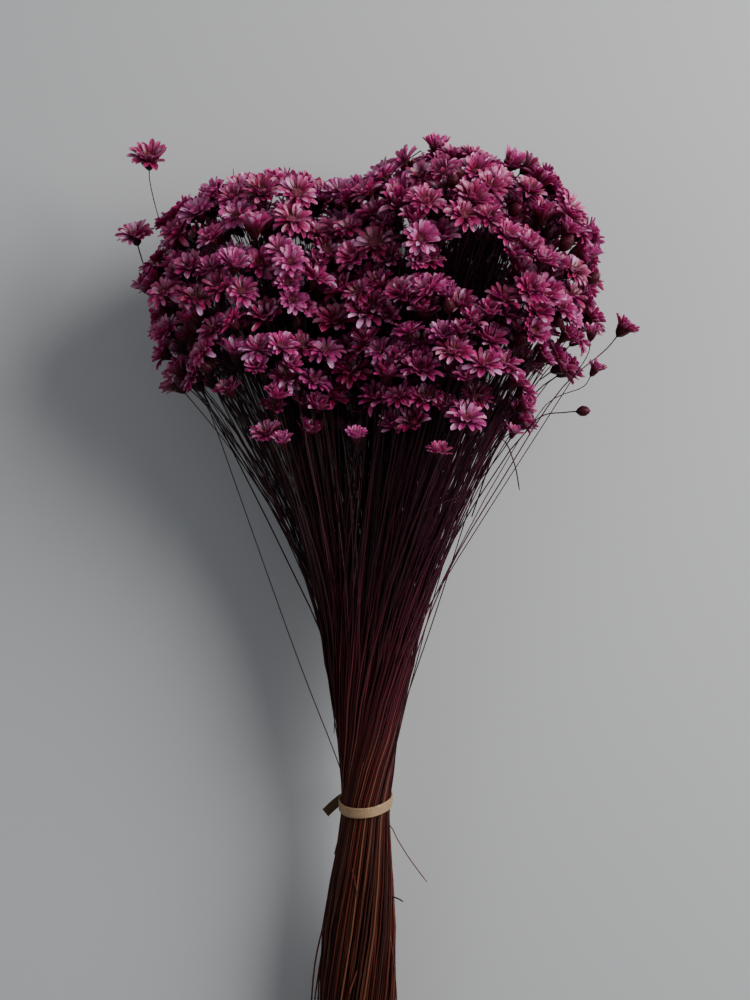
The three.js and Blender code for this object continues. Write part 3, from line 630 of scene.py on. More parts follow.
def new_object(name, data):
    thing = bpy.data.objects.new(name, data)
    bpy.context.scene.collection.objects.link(thing)
    return thing


def make_piece(name, shape, materials, sharp):
    """A mesh piece that rides on the root, its edges sharp from so many degrees."""
    values = shape.arrays()
    faces, uv, kinds = values.pop("faces"), values.pop("uv"), values.pop("kinds", None)
    points = place_points(values.pop("points"))
    points[:, 2] = np.maximum(points[:, 2], TABLE_GAP)
    sizes = np.where(faces[:, 3] < 0, 3, 4)
    loops = faces[faces >= 0]
    mesh = bpy.data.meshes.new(name)
    mesh.vertices.add(len(points))
    fill_in(mesh.vertices, "co", points)
    mesh.loops.add(len(loops))
    fill_in(mesh.loops, "vertex_index", loops, np.int32)
    mesh.polygons.add(len(faces))
    fill_in(mesh.polygons, "loop_start", np.cumsum(sizes) - sizes, np.int32)
    fill_in(mesh.polygons, "loop_total", sizes, np.int32)
    if kinds is not None:
        fill_in(mesh.polygons, "material_index", kinds, np.int32)
    for key, data in values.items():
        fill_in(mesh.attributes.new(key, "FLOAT", "POINT").data, "value", data)
    fill_in(mesh.uv_layers.new(name="UVMap").data, "uv", uv[loops])
    mesh.update(calc_edges=True)
    mesh.validate()
    mesh.polygons.foreach_set("use_smooth", np.ones(len(mesh.polygons), bool))
    mesh.set_sharp_from_angle(angle=sharp * RADIANS)
    for material in materials:
        mesh.materials.append(material)
    piece = new_object(name, mesh)
    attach(piece, "root")
    return piece


# Materials
def srgb(r, g, b):
    def linear(c):
        c /= 255
        return c / 12.92 if c <= 0.04045 else ((c + 0.055) / 1.055) ** 2.4
    return (linear(r), linear(g), linear(b), 1)


def colour_of(value):
    """A linear colour, from a grey, an sRGB colour of three numbers or a linear one of four."""
    if not isinstance(value, tuple):
        return (value, value, value, 1)
    return srgb(*value) if len(value) == 3 else value


class Nodes:
    """A material, with short ways to add nodes. Each returns the new node's output."""

    def __init__(self, name):
        self.material = bpy.data.materials.new(name)
        self.material.use_nodes = True
        self.tree = self.material.node_tree
        self.shader = self.tree.nodes["Principled BSDF"]

    def feed(self, node, inputs):
        """Sets a node's sockets to values, or links them to other nodes' outputs."""
        for key, item in inputs.items():
            if isinstance(item, bpy.types.NodeSocket):
                self.tree.links.new(item, node.inputs[key])
            else:
                node.inputs[key].default_value = item

    def add(self, kind, output, inputs, **settings):
        node = self.tree.nodes.new(kind)
        for key, value in settings.items():
            setattr(node, key, value)
        self.feed(node, inputs)
        return node.outputs[output]

    def value(self, name):
        return self.add("ShaderNodeAttribute", "Fac", {}, attribute_name=name)

    def ramp(self, source, *stops):
        output = self.add("ShaderNodeValToRGB", "Color", {"Fac": source})
        elements = output.node.color_ramp.elements
        while len(elements) < len(stops):
            elements.new(0.5)
        for element, (at, colour) in zip(elements, stops):
            element.position = at
            element.color = colour_of(colour)
        return output

    def math(self, kind, *items):
        return self.add("ShaderNodeMath", 0, dict(enumerate(items)), operation=kind)

    def noise(self, vector, scale, detail, roughness=0.55):
        inputs = {"Vector": vector, "Scale": scale, "Detail": detail, "Roughness": roughness}
        return self.add("ShaderNodeTexNoise", "Fac", inputs)

    def blend(self, share, a, b, kind="MIX"):
        b = colour_of(b) if isinstance(b, tuple) else b
        return self.add("ShaderNodeMix", 2, {0: share, 6: a, 7: b}, data_type="RGBA", blend_type=kind,
                        clamp_factor=True)

    def times(self, a, b):
        return self.blend(1.0, a, b, "MULTIPLY")

    def place(self):
        return self.add("ShaderNodeTexCoord", "Object", {})

    def uv(self, x, y):
        source = self.add("ShaderNodeUVMap", "UV", {}, uv_map="UVMap")
        return self.add("ShaderNodeMapping", "Vector", {"Vector": source, "Scale": (x, y, 1)})

    def bump(self, height, strength, depth):
        inputs = {"Strength": strength, "Distance": depth, "Height": height}
        return self.add("ShaderNodeBump", "Normal", inputs)

    def finish(self, inputs):
        self.feed(self.shader, inputs)
        return self.material


def petal_material():
    n = Nodes("glixia_petal")
    along, tone = n.value("along"), n.value("tone")
    plum = n.ramp(along, (0.0, (96, 5, 34)), (0.28, (148, 12, 66)), (0.66, (180, 30, 106)),
                  (1.0, (206, 74, 148)))
    # Some flowers have faded, some stay deep
    deep = n.ramp(along, (0.0, (66, 2, 20)), (0.45, (124, 6, 50)), (1.0, (166, 26, 92)))
    colour = n.blend(n.ramp(tone, (0.15, 0), (0.75, 1)), deep, plum)
    colour = n.blend(n.ramp(tone, (0.72, 0), (1.0, 0.5)), colour, (172, 64, 136))
    # A share of the petals is painted pale lilac, more so towards the tips: painted glints of light
    painted_glint = n.ramp(n.value("leaf"), (0.68, 0), (1.0, 1))
    painted_glint = n.math("MULTIPLY", painted_glint, n.ramp(along, (0.15, 0), (0.7, 0.8)))
    colour = n.blend(painted_glint, colour, (230, 164, 212))
    streak = n.noise(n.uv(9, 0.9), 4.5, 4)
    return n.finish({
        "Base Color": n.times(colour, n.ramp(streak, (0.35, 0.72), (0.65, 1.12))),
        "Roughness": n.math("MULTIPLY_ADD", streak, 0.2, 0.2),
        "Specular IOR Level": 0.5,
        "Coat Weight": 0.35,
        "Coat Roughness": 0.15,
        "Sheen Weight": 0.05,
        "Sheen Roughness": 0.5,
        "Sheen Tint": (0.95, 0.5, 0.85, 1),
        "Subsurface Weight": 0.25,
        "Subsurface Radius": (0.7, 0.25, 0.45),
        "Subsurface Scale": 0.0015,
        "Normal": n.bump(streak, 0.5, 0.00025),
    })


def heart_material():
    n = Nodes("glixia_heart")
    colour = n.ramp(n.value("along"), (0.0, (66, 8, 26)), (0.5, (128, 24, 60)), (1.0, (176, 78, 98)))
    grain = n.noise(n.place(), 2600, 2)
    tint = n.ramp(grain, (0.5, (140, 22, 74)), (0.72, (150, 100, 56)))
    return n.finish({"Base Color": n.blend(0.35, colour, tint), "Roughness": 0.72, "Sheen Weight": 0.2,
                     "Normal": n.bump(grain, 0.5, 0.0002)})


def cup_material():
    n = Nodes("glixia_cup")
    colour = n.ramp(n.value("along"), (0.0, (34, 6, 10)), (0.6, (66, 8, 24)), (1.0, (108, 14, 48)))
    grain = n.noise(n.place(), 1500, 3)
    colour = n.times(colour, n.ramp(grain, (0.3, 0.6), (0.7, 1.15)))
    return n.finish({"Base Color": colour, "Roughness": 0.5, "Specular IOR Level": 0.25,
                     "Normal": n.bump(grain, 0.4, 0.0002)})


def stem_material():
    n = Nodes("glixia_stem")
    along = n.value("along")
    wine = n.ramp(along, (0.0, (78, 29, 19)), (0.36, (84, 29, 21)), (0.44, (80, 26, 30)),
                  (0.52, (72, 20, 30)), (0.6, (52, 14, 22)), (0.85, (38, 14, 18)))
    straw = n.ramp(along, (0.0, (90, 54, 34)), (0.36, (102, 60, 40)), (0.42, (112, 62, 50)),
                   (0.48, (98, 42, 46)), (0.6, (66, 18, 30)), (0.85, (46, 16, 20)))
    colour = n.blend(n.ramp(n.value("tint"), (0.35, 0), (0.8, 1)), wine, straw)
    # Painted side shading: stems towards the right of the bunch, where the light falls, are tinted purple,
    # most above the tie
    painted_side_shading = n.ramp(n.value("side"), (0.45, 0), (1.0, 0.75))
    above_tie = n.ramp(along, (0.34, 0.2), (0.46, 1))
    colour = n.blend(n.math("MULTIPLY", painted_side_shading, above_tie), colour, (66, 14, 42))
    streak = n.noise(n.uv(3, 0.35), 3.0, 4)
    colour = n.times(colour, n.ramp(streak, (0.3, 0.55), (0.7, 1.3)))
    depth = n.ramp(n.value("dark"), (0.0, (0.34, 0.27, 0.26, 1)), (0.5, (0.72, 0.68, 0.68, 1)),
                   (1.0, (1.5, 1.42, 1.42, 1)))
    return n.finish({"Base Color": n.times(colour, depth), "Roughness": 0.46, "Specular IOR Level": 0.22,
                     "Normal": n.bump(streak, 0.4, 0.00012)})


def tie_material():
    n = Nodes("tie_strip")
    fibre = n.noise(n.uv(0.12, 2.6), 3.2, 5, 0.6)
    wide = n.noise(n.uv(0.1, 0.35), 1.5, 2)
    colour = n.ramp(fibre, (0.3, (90, 64, 40)), (0.44, (146, 114, 82)), (0.6, (186, 156, 120)),
                    (0.75, (120, 90, 60)))
    colour = n.blend(n.math("MULTIPLY", wide, 0.45), colour, (128, 98, 68))
    # The two ends are painted darker: painted shade, as they face away from the light
    colour = n.blend(n.math("MULTIPLY", n.value("inner"), 0.8), colour, (74, 54, 32))
    return n.finish({"Base Color": colour, "Roughness": 0.55, "Normal": n.bump(fibre, 0.6, 0.0003)})


FLOWER_MATERIALS = [petal_material(), heart_material(), cup_material()]
IN_PETAL, IN_HEART, IN_CUP = range(3)

# Flower parts, as shares of a flower's radius: x and y across its face, z along its facing. A petal has
# rings of points at these shares of its length, fewer in the inner rows and in flowers that no solid has.
RINGS = [
    [0.0, 0.26, 0.5, 0.73, 0.92, 1.0],
    [0.0, 0.36, 0.66, 0.91, 1.0],
    [0.0, 0.48, 0.86, 1.0],
]
# Where a petal is widest, as a share of its length, and its half width at the base as a share of the widest
WIDEST = 0.68
NARROW = 0.34
TIP_END = 1.01
# Shares of its half width: how thick it is at the base, how much less at the tip, and its middle's rise
THICK = 0.24
THINNER = 0.14
MIDDLE_RISE = 0.08
CURL = 0.16
PETAL_TWIST = 0.4
UNDERSIDE_TONE = 0.25

# Rows of petals: how many, length, half width, how far inside the disc's rim they start, and how high, lift
# at the base and at the tip
ROWS = {
    "open": [(15, 0.84, 0.155, 0.02, -0.03, 24, -2), (13, 0.78, 0.15, 0.03, 0.03, 44, 24),
             (9, 0.58, 0.12, 0.04, 0.06, 62, 52)],
    "cup": [(14, 0.86, 0.16, 0.02, -0.05, 50, 28), (12, 0.82, 0.15, 0.03, 0.02, 64, 46),
            (8, 0.6, 0.12, 0.05, 0.05, 76, 68)],
}
DISCS = (0.32, 0.24, 0.28)
DOMES = {"open": 0.1, "cup": 0.06}
FLORETS = {"open": 30, "cup": 18}
PLAIN_FLORETS = 12
FLORET_ANGLE = 2.39996
# Degrees by which a variant's petals open further, in turn
WIDE_OPEN = {"open": (-6, 7, -20, 14), "cup": (-14, -2, -8, 5)}
# How pointed a variant's petals are
POINTS = [1.3, 1.8, 2.6]
# A few petals are missing, a few have bent away by so many degrees
MISSING = 0.06
BENT = 0.09
BENDS = [-34, 30]
VARIANTS = {"open": 12, "cup": 12, "bud": 2}
# A flower is this much larger than its solid
FULLNESS = 1.08


def about_axis(points, angle):
    x, y = turned(points[:, 0], points[:, 1], angle)
    return np.column_stack([x, y, points[:, 2]])


def petal_half(t, point):
    if t < WIDEST:
        return NARROW + (1 - NARROW) * sin(0.5 * pi * t / WIDEST)
    return sqrt(max(0.0, 1 - ((t - WIDEST) / (TIP_END - WIDEST)) ** point))


def petal(part, rng, rings, angle, length, width, start, lifts, fold, point):
    """A channelled petal, closed, thin at its edges. Its start is (out, up), its lifts at base and tip."""
    rows = []
    spot = np.array(start)
    last = 0.0
    curl = rng.uniform(-CURL, CURL)
    twist = rng.uniform(-PETAL_TWIST, PETAL_TWIST)
    shift = rng.uniform(0, 40)
    for t in rings:
        rise = mix(*lifts, 0.5 * (t + last))
        spot = spot + (t - last) * length * np.array([cos(rise), sin(rise)])
        last = t
        rise = mix(*lifts, t)
        normal = np.array([-sin(rise), cos(rise)])
        slip = curl * t * t * length
        if t == rings[-1]:
            rows.append((spot[0], slip, spot[1], t, shift, t))
            break
        half = width * petal_half(t, point)
        for across, raise_by in ((-1, fold), (0, MIDDLE_RISE), (1, fold)):
            out = spot + normal * (raise_by + twist * t * across) * half
            rows.append((out[0], across * half + slip, out[1], t, shift + across * 0.5, t))
        under = spot - normal * (width * (THICK - THINNER * t))
        rows.append((under[0], slip, under[1], max(0.0, t - UNDERSIDE_TONE), shift, t))
    rows = np.array(rows)
    sides = 4
    end = sides * (len(rings) - 2)
    faces = tube_faces(len(rings) - 1, sides)
    faces += [(end + i, end + (i + 1) % sides, end + sides) for i in range(sides)]
    faces.append((3, 2, 1, 0))
    part.add_solid(about_axis(rows, angle), faces, IN_PETAL, rows[:, 3], rng.uniform(0, 1), rows[:, 4:])


def turned_solid(part, profile, sides, kind, along, axis=(0, 0), tip=(0, 0)):
    """A closed solid of revolution: profile of (out, up), its ends on the axis. Its tip can lean over."""
    x, y = axis
    around = [TAU * i / sides for i in range(sides)]
    points = [(x, y, profile[0][1])]
    points += [(x + out * cos(a), y + out * sin(a), up) for out, up in profile[1:-1] for a in around]
    points.append((x + tip[0], y + tip[1], profile[-1][1]))
    rings = len(profile) - 2
    top = 1 + (rings - 1) * sides
    faces = tube_faces(rings, sides, 1)
    for i in range(sides):
        j = (i + 1) % sides
        faces += [(0, 1 + j, 1 + i), (top + i, top + j, len(points) - 1)]
    values = [along[0], *np.repeat(along[1:-1], sides), along[-1]]
    part.add_solid(np.array(points, float), faces, kind, values)


def scale_leaf(part, rng, angle, low, high, width):
    """A small pointed scale on the cup."""
    r0, z0 = low
    r1, z1 = high
    rm, zm = mix(r0, r1, 0.5) + 0.035, mix(z0, z1, 0.5)
    points = np.array([(r0 - 0.01, 0, z0), (rm - 0.03, -width, zm), (r1 + 0.03, 0, z1),
                       (rm - 0.03, width, zm), (rm + 0.02, 0, zm), (rm - 0.06, 0, zm)])
    faces = [(0, 1, 4), (1, 2, 4), (2, 3, 4), (3, 0, 4), (1, 0, 5), (2, 1, 5), (3, 2, 5), (0, 3, 5)]
    along = [0.1, 0.5, 1.0, 0.5, 0.55, 0.2]
    part.add_solid(about_axis(points, angle), faces, IN_CUP, along, rng.uniform(0, 1))


def add_scales(part, rng, rows, first=0):
    """Rows of scales: how many, lower end, upper end, half width. Each lies half a scale further round."""
    for row, (count, low, high, width) in list(enumerate(rows))[first:]:
        for k in range(count):
            scale_leaf(part, rng, TAU * (k + 0.5 * row) / count, low, high, width)


def add_petals(part, rng, kind, variant, disc, plain):
    wide_open = WIDE_OPEN[kind][variant % 4] + rng.uniform(-4, 4)
    point = rng.choice(POINTS)
    for row, (count, length, width, inside, up, lift, tip_lift) in enumerate(ROWS[kind]):
        count += int(rng.integers(-1, 2))
        rings = RINGS[min(2, row + plain)]
        for k in range(count):
            angle = TAU * (k + 0.5 * (row % 2) + rng.uniform(-0.25, 0.25)) / count
            bend = rng.normal(0, 10) - wide_open
            if rng.random() < MISSING:
                continue
            if rng.random() < BENT:
                bend += rng.choice(BENDS)
            reach = length * rng.uniform(0.84, 1.07) * (1.3 - disc)
            lifts = ((lift + 0.5 * bend) * RADIANS, (tip_lift + bend) * RADIANS)
            petal(part, rng, rings, angle, reach, width * rng.uniform(0.8, 1.14), (disc - inside, up), lifts,
                  rng.uniform(0.2, 0.85), point)


def add_disc(part, rng, disc, dome, total):
    """The grainy heart: a low dome with florets on it, taller towards its rim."""
    profile = [(0, -0.06), (disc, -0.03), (disc * 0.94, 0.03), (disc * 0.6, dome), (0, dome + 0.02)]
    turned_solid(part, profile, 10, IN_HEART, [0.0, 0.0, 0.15, 0.25, 0.2])
    for k in range(total):
        r = disc * 0.97 * sqrt((k + 0.5) / total)
        a = k * FLORET_ANGLE
        z = mix(dome + 0.01, 0.03, (r / disc) ** 2)
        tall = mix(0.09, 0.19, r / disc) * rng.uniform(0.7, 1.3)
        lean = (rng.uniform(-0.02, 0.02) + 0.03 * cos(a), rng.uniform(-0.02, 0.02) + 0.03 * sin(a))
        profile = [(0, z - 0.03), (0.115 * disc, z + 0.35 * tall), (0, z + tall)]
        turned_solid(part, profile, 4, IN_HEART, [0.0, 0.45, 1.0], (r * cos(a), r * sin(a)), lean)


def add_cup(part, rng, foot, wide, plain):
    """The dark cup of small scales under the petals, down to the stem."""
    profile = [(0, foot), (0.055, foot + 0.01), (0.15, foot * 0.84), (wide * 0.72, foot * 0.55),
               (wide * 0.96, foot * 0.22), (wide, 0.0), (0, 0.01)]
    turned_solid(part, profile, 8, IN_CUP, [0.0, 0.0, 0.15, 0.35, 0.55, 0.7, 0.7])
    add_scales(part, rng, [(6, (0.14, foot * 0.86), (wide * 0.86, foot * 0.42), 0.08),
                           (8, (wide * 0.7, foot * 0.6), (wide * 1.02, foot * 0.12), 0.09),
                           (10, (wide * 0.92, foot * 0.3), (wide * 1.2, 0.07), 0.09)], 2 if plain else 0)


def add_bud(part, rng, foot):
    """A closed head: an egg of overlapping dark scales with the petal tips just showing."""
    profile = [(0, foot), (0.07, foot + 0.01), (0.34, foot * 0.72), (0.56, foot * 0.3), (0.6, 0.12),
               (0.48, 0.5), (0.26, 0.76), (0, 0.84)]
    turned_solid(part, profile, 12, IN_CUP, [0.0, 0.0, 0.2, 0.4, 0.55, 0.7, 0.9, 1.0])
    add_scales(part, rng, [(7, (0.28, foot * 0.78), (0.6, foot * 0.2), 0.15),
                           (9, (0.52, foot * 0.4), (0.63, 0.26), 0.17),
                           (9, (0.58, 0.0), (0.5, 0.6), 0.17), (8, (0.56, 0.28), (0.24, 0.9), 0.15)])
    lifts = (96 * RADIANS, 116 * RADIANS)
    for k in range(7):
        petal(part, rng, RINGS[2], TAU * (k + 0.3) / 7, 0.34, 0.08, (0.2, 0.66), lifts, 0.3, 1.6)


def flower_part(kind, variant, plain):
    rng = np.random.default_rng(900 + 31 * variant + len(kind))
    part = Shape()
    foot = KINDS[kind]["foot"]
    if kind == "bud":
        add_bud(part, rng, foot)
    else:
        disc = DISCS[variant % 3]
        add_petals(part, rng, kind, variant, disc, plain)
        add_disc(part, rng, disc, DOMES[kind], PLAIN_FLORETS if plain else FLORETS[kind])
        add_cup(part, rng, foot, disc + 0.04, plain)
    return part.arrays()


PARTS = {(kind, plain): [flower_part(kind, variant, plain) for variant in range(VARIANTS[kind])]
         for kind in KINDS for plain in (False, True)}


def flowers_piece(node, members):
    """One node's flowers, each a copy of a part. Those between the flowers of the solids are plainer."""
    rng = np.random.default_rng(4000 + members[0][0])
    shape = Shape()
    for index, flower in members:
        parts = PARTS[flower["kind"], index >= CAD_FLOWERS]
        part = parts[index % len(parts)]
        local = about_axis(part["points"], flower["spin"]) * flower["radius"] * FULLNESS
        axes = np.array([*sideways(flower["facing"]), flower["facing"]])
        points = np.array(flower["centre"]) + local @ axes
        shade = rng.uniform(0, 1) if flower["kind"] != "bud" else 0
        shape.add(**dict(part, points=points, tone=shade))
    piece = make_piece("glixia_" + node, shape, FLOWER_MATERIALS, 55)
    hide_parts(node)


# Stems
def foot_of(flower):
    reach = KINDS[flower["kind"]]["foot"] * flower["radius"] + FOOT_INSIDE
    return moved(flower["centre"], flower["facing"], reach)


def standing(foot):
    """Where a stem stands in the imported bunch, as shares of its half width and depth."""
    rim = look_up(OUTLINE, foot[1])
    return np.array([foot[0] / rim, (foot[2] - HEAD_RISE) / (rim * DEPTH_SHARE)])


def packed_places(count):
    k = np.arange(count) + 0.5
    r = np.sqrt(k / count)
    a = k * GOLDEN_ANGLE
    return np.column_stack([r * np.cos(a), r * np.sin(a)])


def assign_places(wanted, places):
    """Each stem takes the free place nearest to where it wants to stand, the outermost first."""
    order = np.argsort(-norm(wanted, axis=1))
    free = np.ones(len(places), bool)
    taken = np.zeros(len(wanted), int)
    for i in order:
        gap = norm(places - wanted[i], axis=1)
        gap[~free] = inf
        taken[i] = int(np.argmin(gap))
        free[taken[i]] = False
    return places[taken]


def stem_places(feet, ends, rng):
    """Places for the stems of flowers, spread over the bunch by rank, and for those that end inside."""
    wanted = np.array([standing(p) for p in feet])
    sizes = norm(wanted, axis=1)
    rank = np.argsort(np.argsort(sizes))
    spread = np.sqrt((rank + 0.5) / len(rank))
    wanted = wanted / np.maximum(sizes, 1e-6)[:, None] * spread[:, None]
    wanted = np.vstack([wanted, [standing(p) for p in ends]])
    wanted += rng.normal(0, CROSSING, wanted.shape)
    wanted = np.column_stack(turned(wanted[:, 0], wanted[:, 1], UPPER_TWIST * RADIANS))
    return assign_places(wanted, packed_places(len(wanted)))


def low_points(place, rng):
    """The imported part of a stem, from its cut end to above the tie."""
    points = []
    wave = rng.uniform(0, TAU, 4)
    sway = rng.uniform(*SWAY)
    for level in LOW_LEVELS:
        at = level if level else rng.uniform(*CUT_ENDS)
        radius = look_up(OUTLINE, at) - 0.1
        x, z = turned(*place, look_up(TWIST, level) * RADIANS)
        loose = min(1.0, abs(level - SWAY_STILL) / SWAY_RUN) * sway
        dx, dz = (loose * sin(slow * at + wave[2 * i])
                  + SWAY_FAST_SHARE * loose * sin(fast * at + wave[2 * i + 1])
                  for i, (slow, fast) in enumerate(SWAY_WAVES))
        points.append((look_up(AXIS_X, at) + x * radius + dx, at, z * radius + dz))
    return np.array(points)


def bezier(a, b, c, d, steps):
    t = (np.arange(1, steps + 1) / steps)[:, None]
    return ((1 - t) ** 3) * a + 3 * ((1 - t) ** 2) * t * b + 3 * (1 - t) * t * t * c + t ** 3 * d


def smooth_through(points, steps):
    """A smooth curve through a list of points, its pace set by the gaps between them."""
    p = np.array(points, float)
    p = np.vstack([2 * p[0] - p[1], p, 2 * p[-1] - p[-2]])
    pace = np.sqrt(np.maximum(norm(np.diff(p, axis=0), axis=1), 1e-6))
    out = [p[1]]
    for k in range(1, len(p) - 2):
        a, b, c, d = p[k - 1:k + 3]
        before, here, after = pace[k - 1:k + 2]
        leave = here * ((b - a) / before - (c - a) / (before + here) + (c - b) / here)
        arrive = here * ((c - b) / here - (d - b) / (here + after) + (d - c) / after)
        for t in np.arange(1, steps + 1) / steps:
            out.append((2 * t ** 3 - 3 * t * t + 1) * b + (t ** 3 - 2 * t * t + t) * leave
                       + (3 * t * t - 2 * t ** 3) * c + (t ** 3 - t * t) * arrive)
    return np.array(out)


def clear_of_flowers(line, own, centres, radii):
    """Bends the upper part of a stem round the flowers that it would run through."""
    keep = 0.5 * radii + 0.7
    keep[own] = 0
    for _ in range(BEND_ROUNDS):
        inner = line[1:-2]
        away = inner[:, None, :] - centres[None, :, :]
        gap = norm(away, axis=2)
        short = np.maximum(0, keep[None, :] - gap)
        push = (away / np.maximum(gap, 0.05)[..., None] * short[..., None]).sum(axis=1)
        if np.abs(push).max() < 0.02:
            break
        line[1:-2] = inner + 0.7 * push
        line[1:-2] = 0.5 * line[1:-2] + 0.25 * (line[:-3] + line[2:-1])
    return line


def inner_point(rng):
    """A point inside the head, where a stem that has lost its flower ends."""
    if rng.random() < DARK_SHARE:
        return rng.uniform(*DARK_ENDS)
    lobe = pick_lobe(rng.random())
    latitude = rng.uniform(*FILLER_LATITUDES)
    ring = sqrt(1 - latitude * latitude) * FILLER_REACH * sqrt(rng.random())
    return np.array(lobe_point(lobe, latitude, rng.uniform(0, TAU), ring, FILLER_REACH))


def heading(low, held):
    """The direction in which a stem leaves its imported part, held in by a share."""
    run = low[-1] - low[-2]
    tangent = run / norm(run)
    tangent[[0, 2]] *= held
    return tangent


def flower_stem(i, flower, place, centres, radii, rng):
    foot, facing = np.array(foot_of(flower)), np.array(flower["facing"])
    via = [np.array(p, float) for p in (flower["via"] or [])[::-1]]
    if flower["start"]:
        return smooth_through([flower["start"], *via, foot - 7 * facing, foot], 4)
    low = low_points(place, rng)
    if via:
        return np.vstack([low, smooth_through([low[-2], low[-1], *via, foot - 5 * facing, foot], 5)[6:]])
    reach = norm(foot - low[-1])
    tangent = heading(low, rng.uniform(*HELD_IN))
    bow = np.array([rng.normal(0, BOWING), 0, rng.normal(0, BOWING)])
    upper = bezier(low[-1], low[-1] + tangent * reach * LEAVING + bow,
                   foot - facing * min(ARRIVING[0] * reach, ARRIVING[1]) + 0.5 * bow, foot, 12)
    line = clear_of_flowers(np.vstack([low[-1:], upper]), i, centres, radii)
    return np.vstack([low[:-1], line])


def filler_stem(end, place, rng):
    low = low_points(place, rng)
    start = low[-1]
    reach = norm(end - start)
    upper = bezier(start, start + heading(low, HELD_IN[0]) * LEAVING * reach,
                   end - (end - start) * FILLER_ARRIVING, end, 8)
    return np.vstack([low, upper])


def splinter(rng):
    """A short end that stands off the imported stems, up or down the bunch."""
    level = rng.uniform(*SPLINTER_RANGE)
    length = rng.uniform(*SPLINTER_LENGTH) * rng.choice([-1, 1])
    turn = rng.uniform(0, TAU)
    rise = rng.uniform(*SPLINTER_RISE)
    drift = rng.uniform(-SPLINTER_DRIFT, SPLINTER_DRIFT)
    points = []
    for share in (0, 0.35, 0.7, 1):
        at = min(max(level + share * length, SPLINTER_ENDS[0]), SPLINTER_ENDS[1])
        radius = look_up(OUTLINE, at) - 0.3 + rise * share * share
        angle = turn + drift * share
        points.append((look_up(AXIS_X, at) + radius * sin(angle), at, radius * cos(angle)))
    return smooth_through(points, 2)


def stem_lines(flowers):
    """The middle line and the kind of each stem."""
    rng = np.random.default_rng(77)
    ends = [inner_point(rng) for _ in range(FILLER_STEMS)]
    places = stem_places([foot_of(f) for f in flowers], ends, rng)
    radii = np.array([f["radius"] for f in flowers])
    facings = np.array([f["facing"] for f in flowers])
    centres = np.array([f["centre"] for f in flowers]) - 0.1 * (radii[:, None] * facings)
    lines = []
    for i, flower in enumerate(flowers):
        kind = "stray" if flower["start"] else "flowering" if i < CAD_FLOWERS else "plain"
        lines.append((flower_stem(i, flower, places[i], centres, radii, rng), kind))
    lines += [(filler_stem(end, place, rng), "filler") for end, place in zip(ends, places[len(flowers):])]
    lines += [(smooth_through(points, 4), "bare") for points in BARE_STEMS]
    lines.append((np.array(KINKED_STEM, float), "bare"))
    lines += [(splinter(rng), "bare") for _ in range(SPLINTERS)]
    return lines


def tube_points(line, radii, sides, turn):
    """Rings of points round a line, none of them twisted against the last."""
    tangents = np.gradient(line, axis=0)
    tangents /= norm(tangents, axis=1)[:, None]
    angles = [TAU * (i + turn) / sides for i in range(sides)]
    first = np.cross(tangents[0], (0.3, 0.1, 1.0))
    points = []
    for p, tangent, radius in zip(line, tangents, radii):
        first = first - tangent * np.dot(first, tangent)
        first /= norm(first)
        second = np.cross(tangent, first)
        points += [p + radius * (cos(a) * first + sin(a) * second) for a in angles]
    return np.array(points)


def add_stem(shape, line, kind, rng):
    """One stem. Its values are how far along it is, its tint, how dark and how far to the right it is, for
    its painted side shading.
    """
    line = line[np.concatenate([[True], norm(np.diff(line, axis=0), axis=1) > 0.05])]
    sides, tips = STEM_KINDS[kind]
    radii = np.array([look_up(STEM_RADIUS, p[1]) for p in line]) * rng.uniform(0.78, 1.16)
    radii[-2:] *= tips
    travelled = np.concatenate([[0], np.cumsum(norm(np.diff(line, axis=0), axis=1))])
    shift = rng.uniform(0, 60)
    points = tube_points(line, radii, sides, rng.uniform(0, 1))
    tint = np.clip(rng.normal(0.42, 0.36), 0, 1)
    dark = rng.uniform(0, 1) ** 1.4
    # How far to the right a stem lies, for the painted side shading
    side = np.clip(0.5 + (line[:, 0] + 4) / 34 * np.where(line[:, 1] < 190, 1, 0.4), 0, 1)
    faces = tube_faces(len(line), sides)
    end = (len(line) - 1) * sides
    for i in range(1, sides - 1):
        faces += [(0, i + 1, i), (end, end + i, end + i + 1)]
    shape.add(points, padded(faces), uv=[(shift + i * 0.6, run) for run in travelled for i in range(sides)],
              along=np.repeat(line[:, 1] / 450, sides), tint=tint, dark=dark, side=np.repeat(side, sides))


def stems_piece(flowers):
    rng = np.random.default_rng(555)
    shape = Shape()
    for line, kind in stem_lines(flowers):
        add_stem(shape, line, kind, rng)
    piece = make_piece("glixia_stems", shape, [stem_material()], 60)
    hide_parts("stems")


# The tie
TIE_ALONG = 170.5
TIE_WIDTH = 4.2
TIE_INNER = 10.8
TIE_THICK = 0.6
TIE_SLOPE = -0.3
TIE_TILT = 0.1
TIE_ENDS = [
    [[-6, 172, -9.3], [-10, 170.4, -8.4], [-13.6, 167.8, -7.4], [-17.2, 164.6, -6]],
    [[0.8, 174, -11.1], [4.6, 176, -12.1], [7.2, 179.4, -13]],
]
TIE_END_NARROWER = 0.1
TIE_END_THINNER = 0.9
TIE_ACROSS = 10
TIE_STEPS = 96
TIE_RIB = 0.05
TIE_WAVE = 0.025


def strip_section(width, thick, rng):
    """Points round a flat strip: a finely ribbed outside and a plain inside."""
    ribs = rng.uniform(-TIE_RIB, TIE_RIB, TIE_ACROSS + 1)
    ribs[[0, -1]] = 0
    outside = [(mix(-0.5, 0.5, i / TIE_ACROSS) * width, thick * (0.5 if 0 < i < TIE_ACROSS else 0.2) + rib)
               for i, rib in enumerate(ribs)]
    inside = [(0.5 * width, -0.3 * thick), (0.47 * width, -0.5 * thick), (-0.47 * width, -0.5 * thick),
              (-0.5 * width, -0.3 * thick)]
    return outside + inside


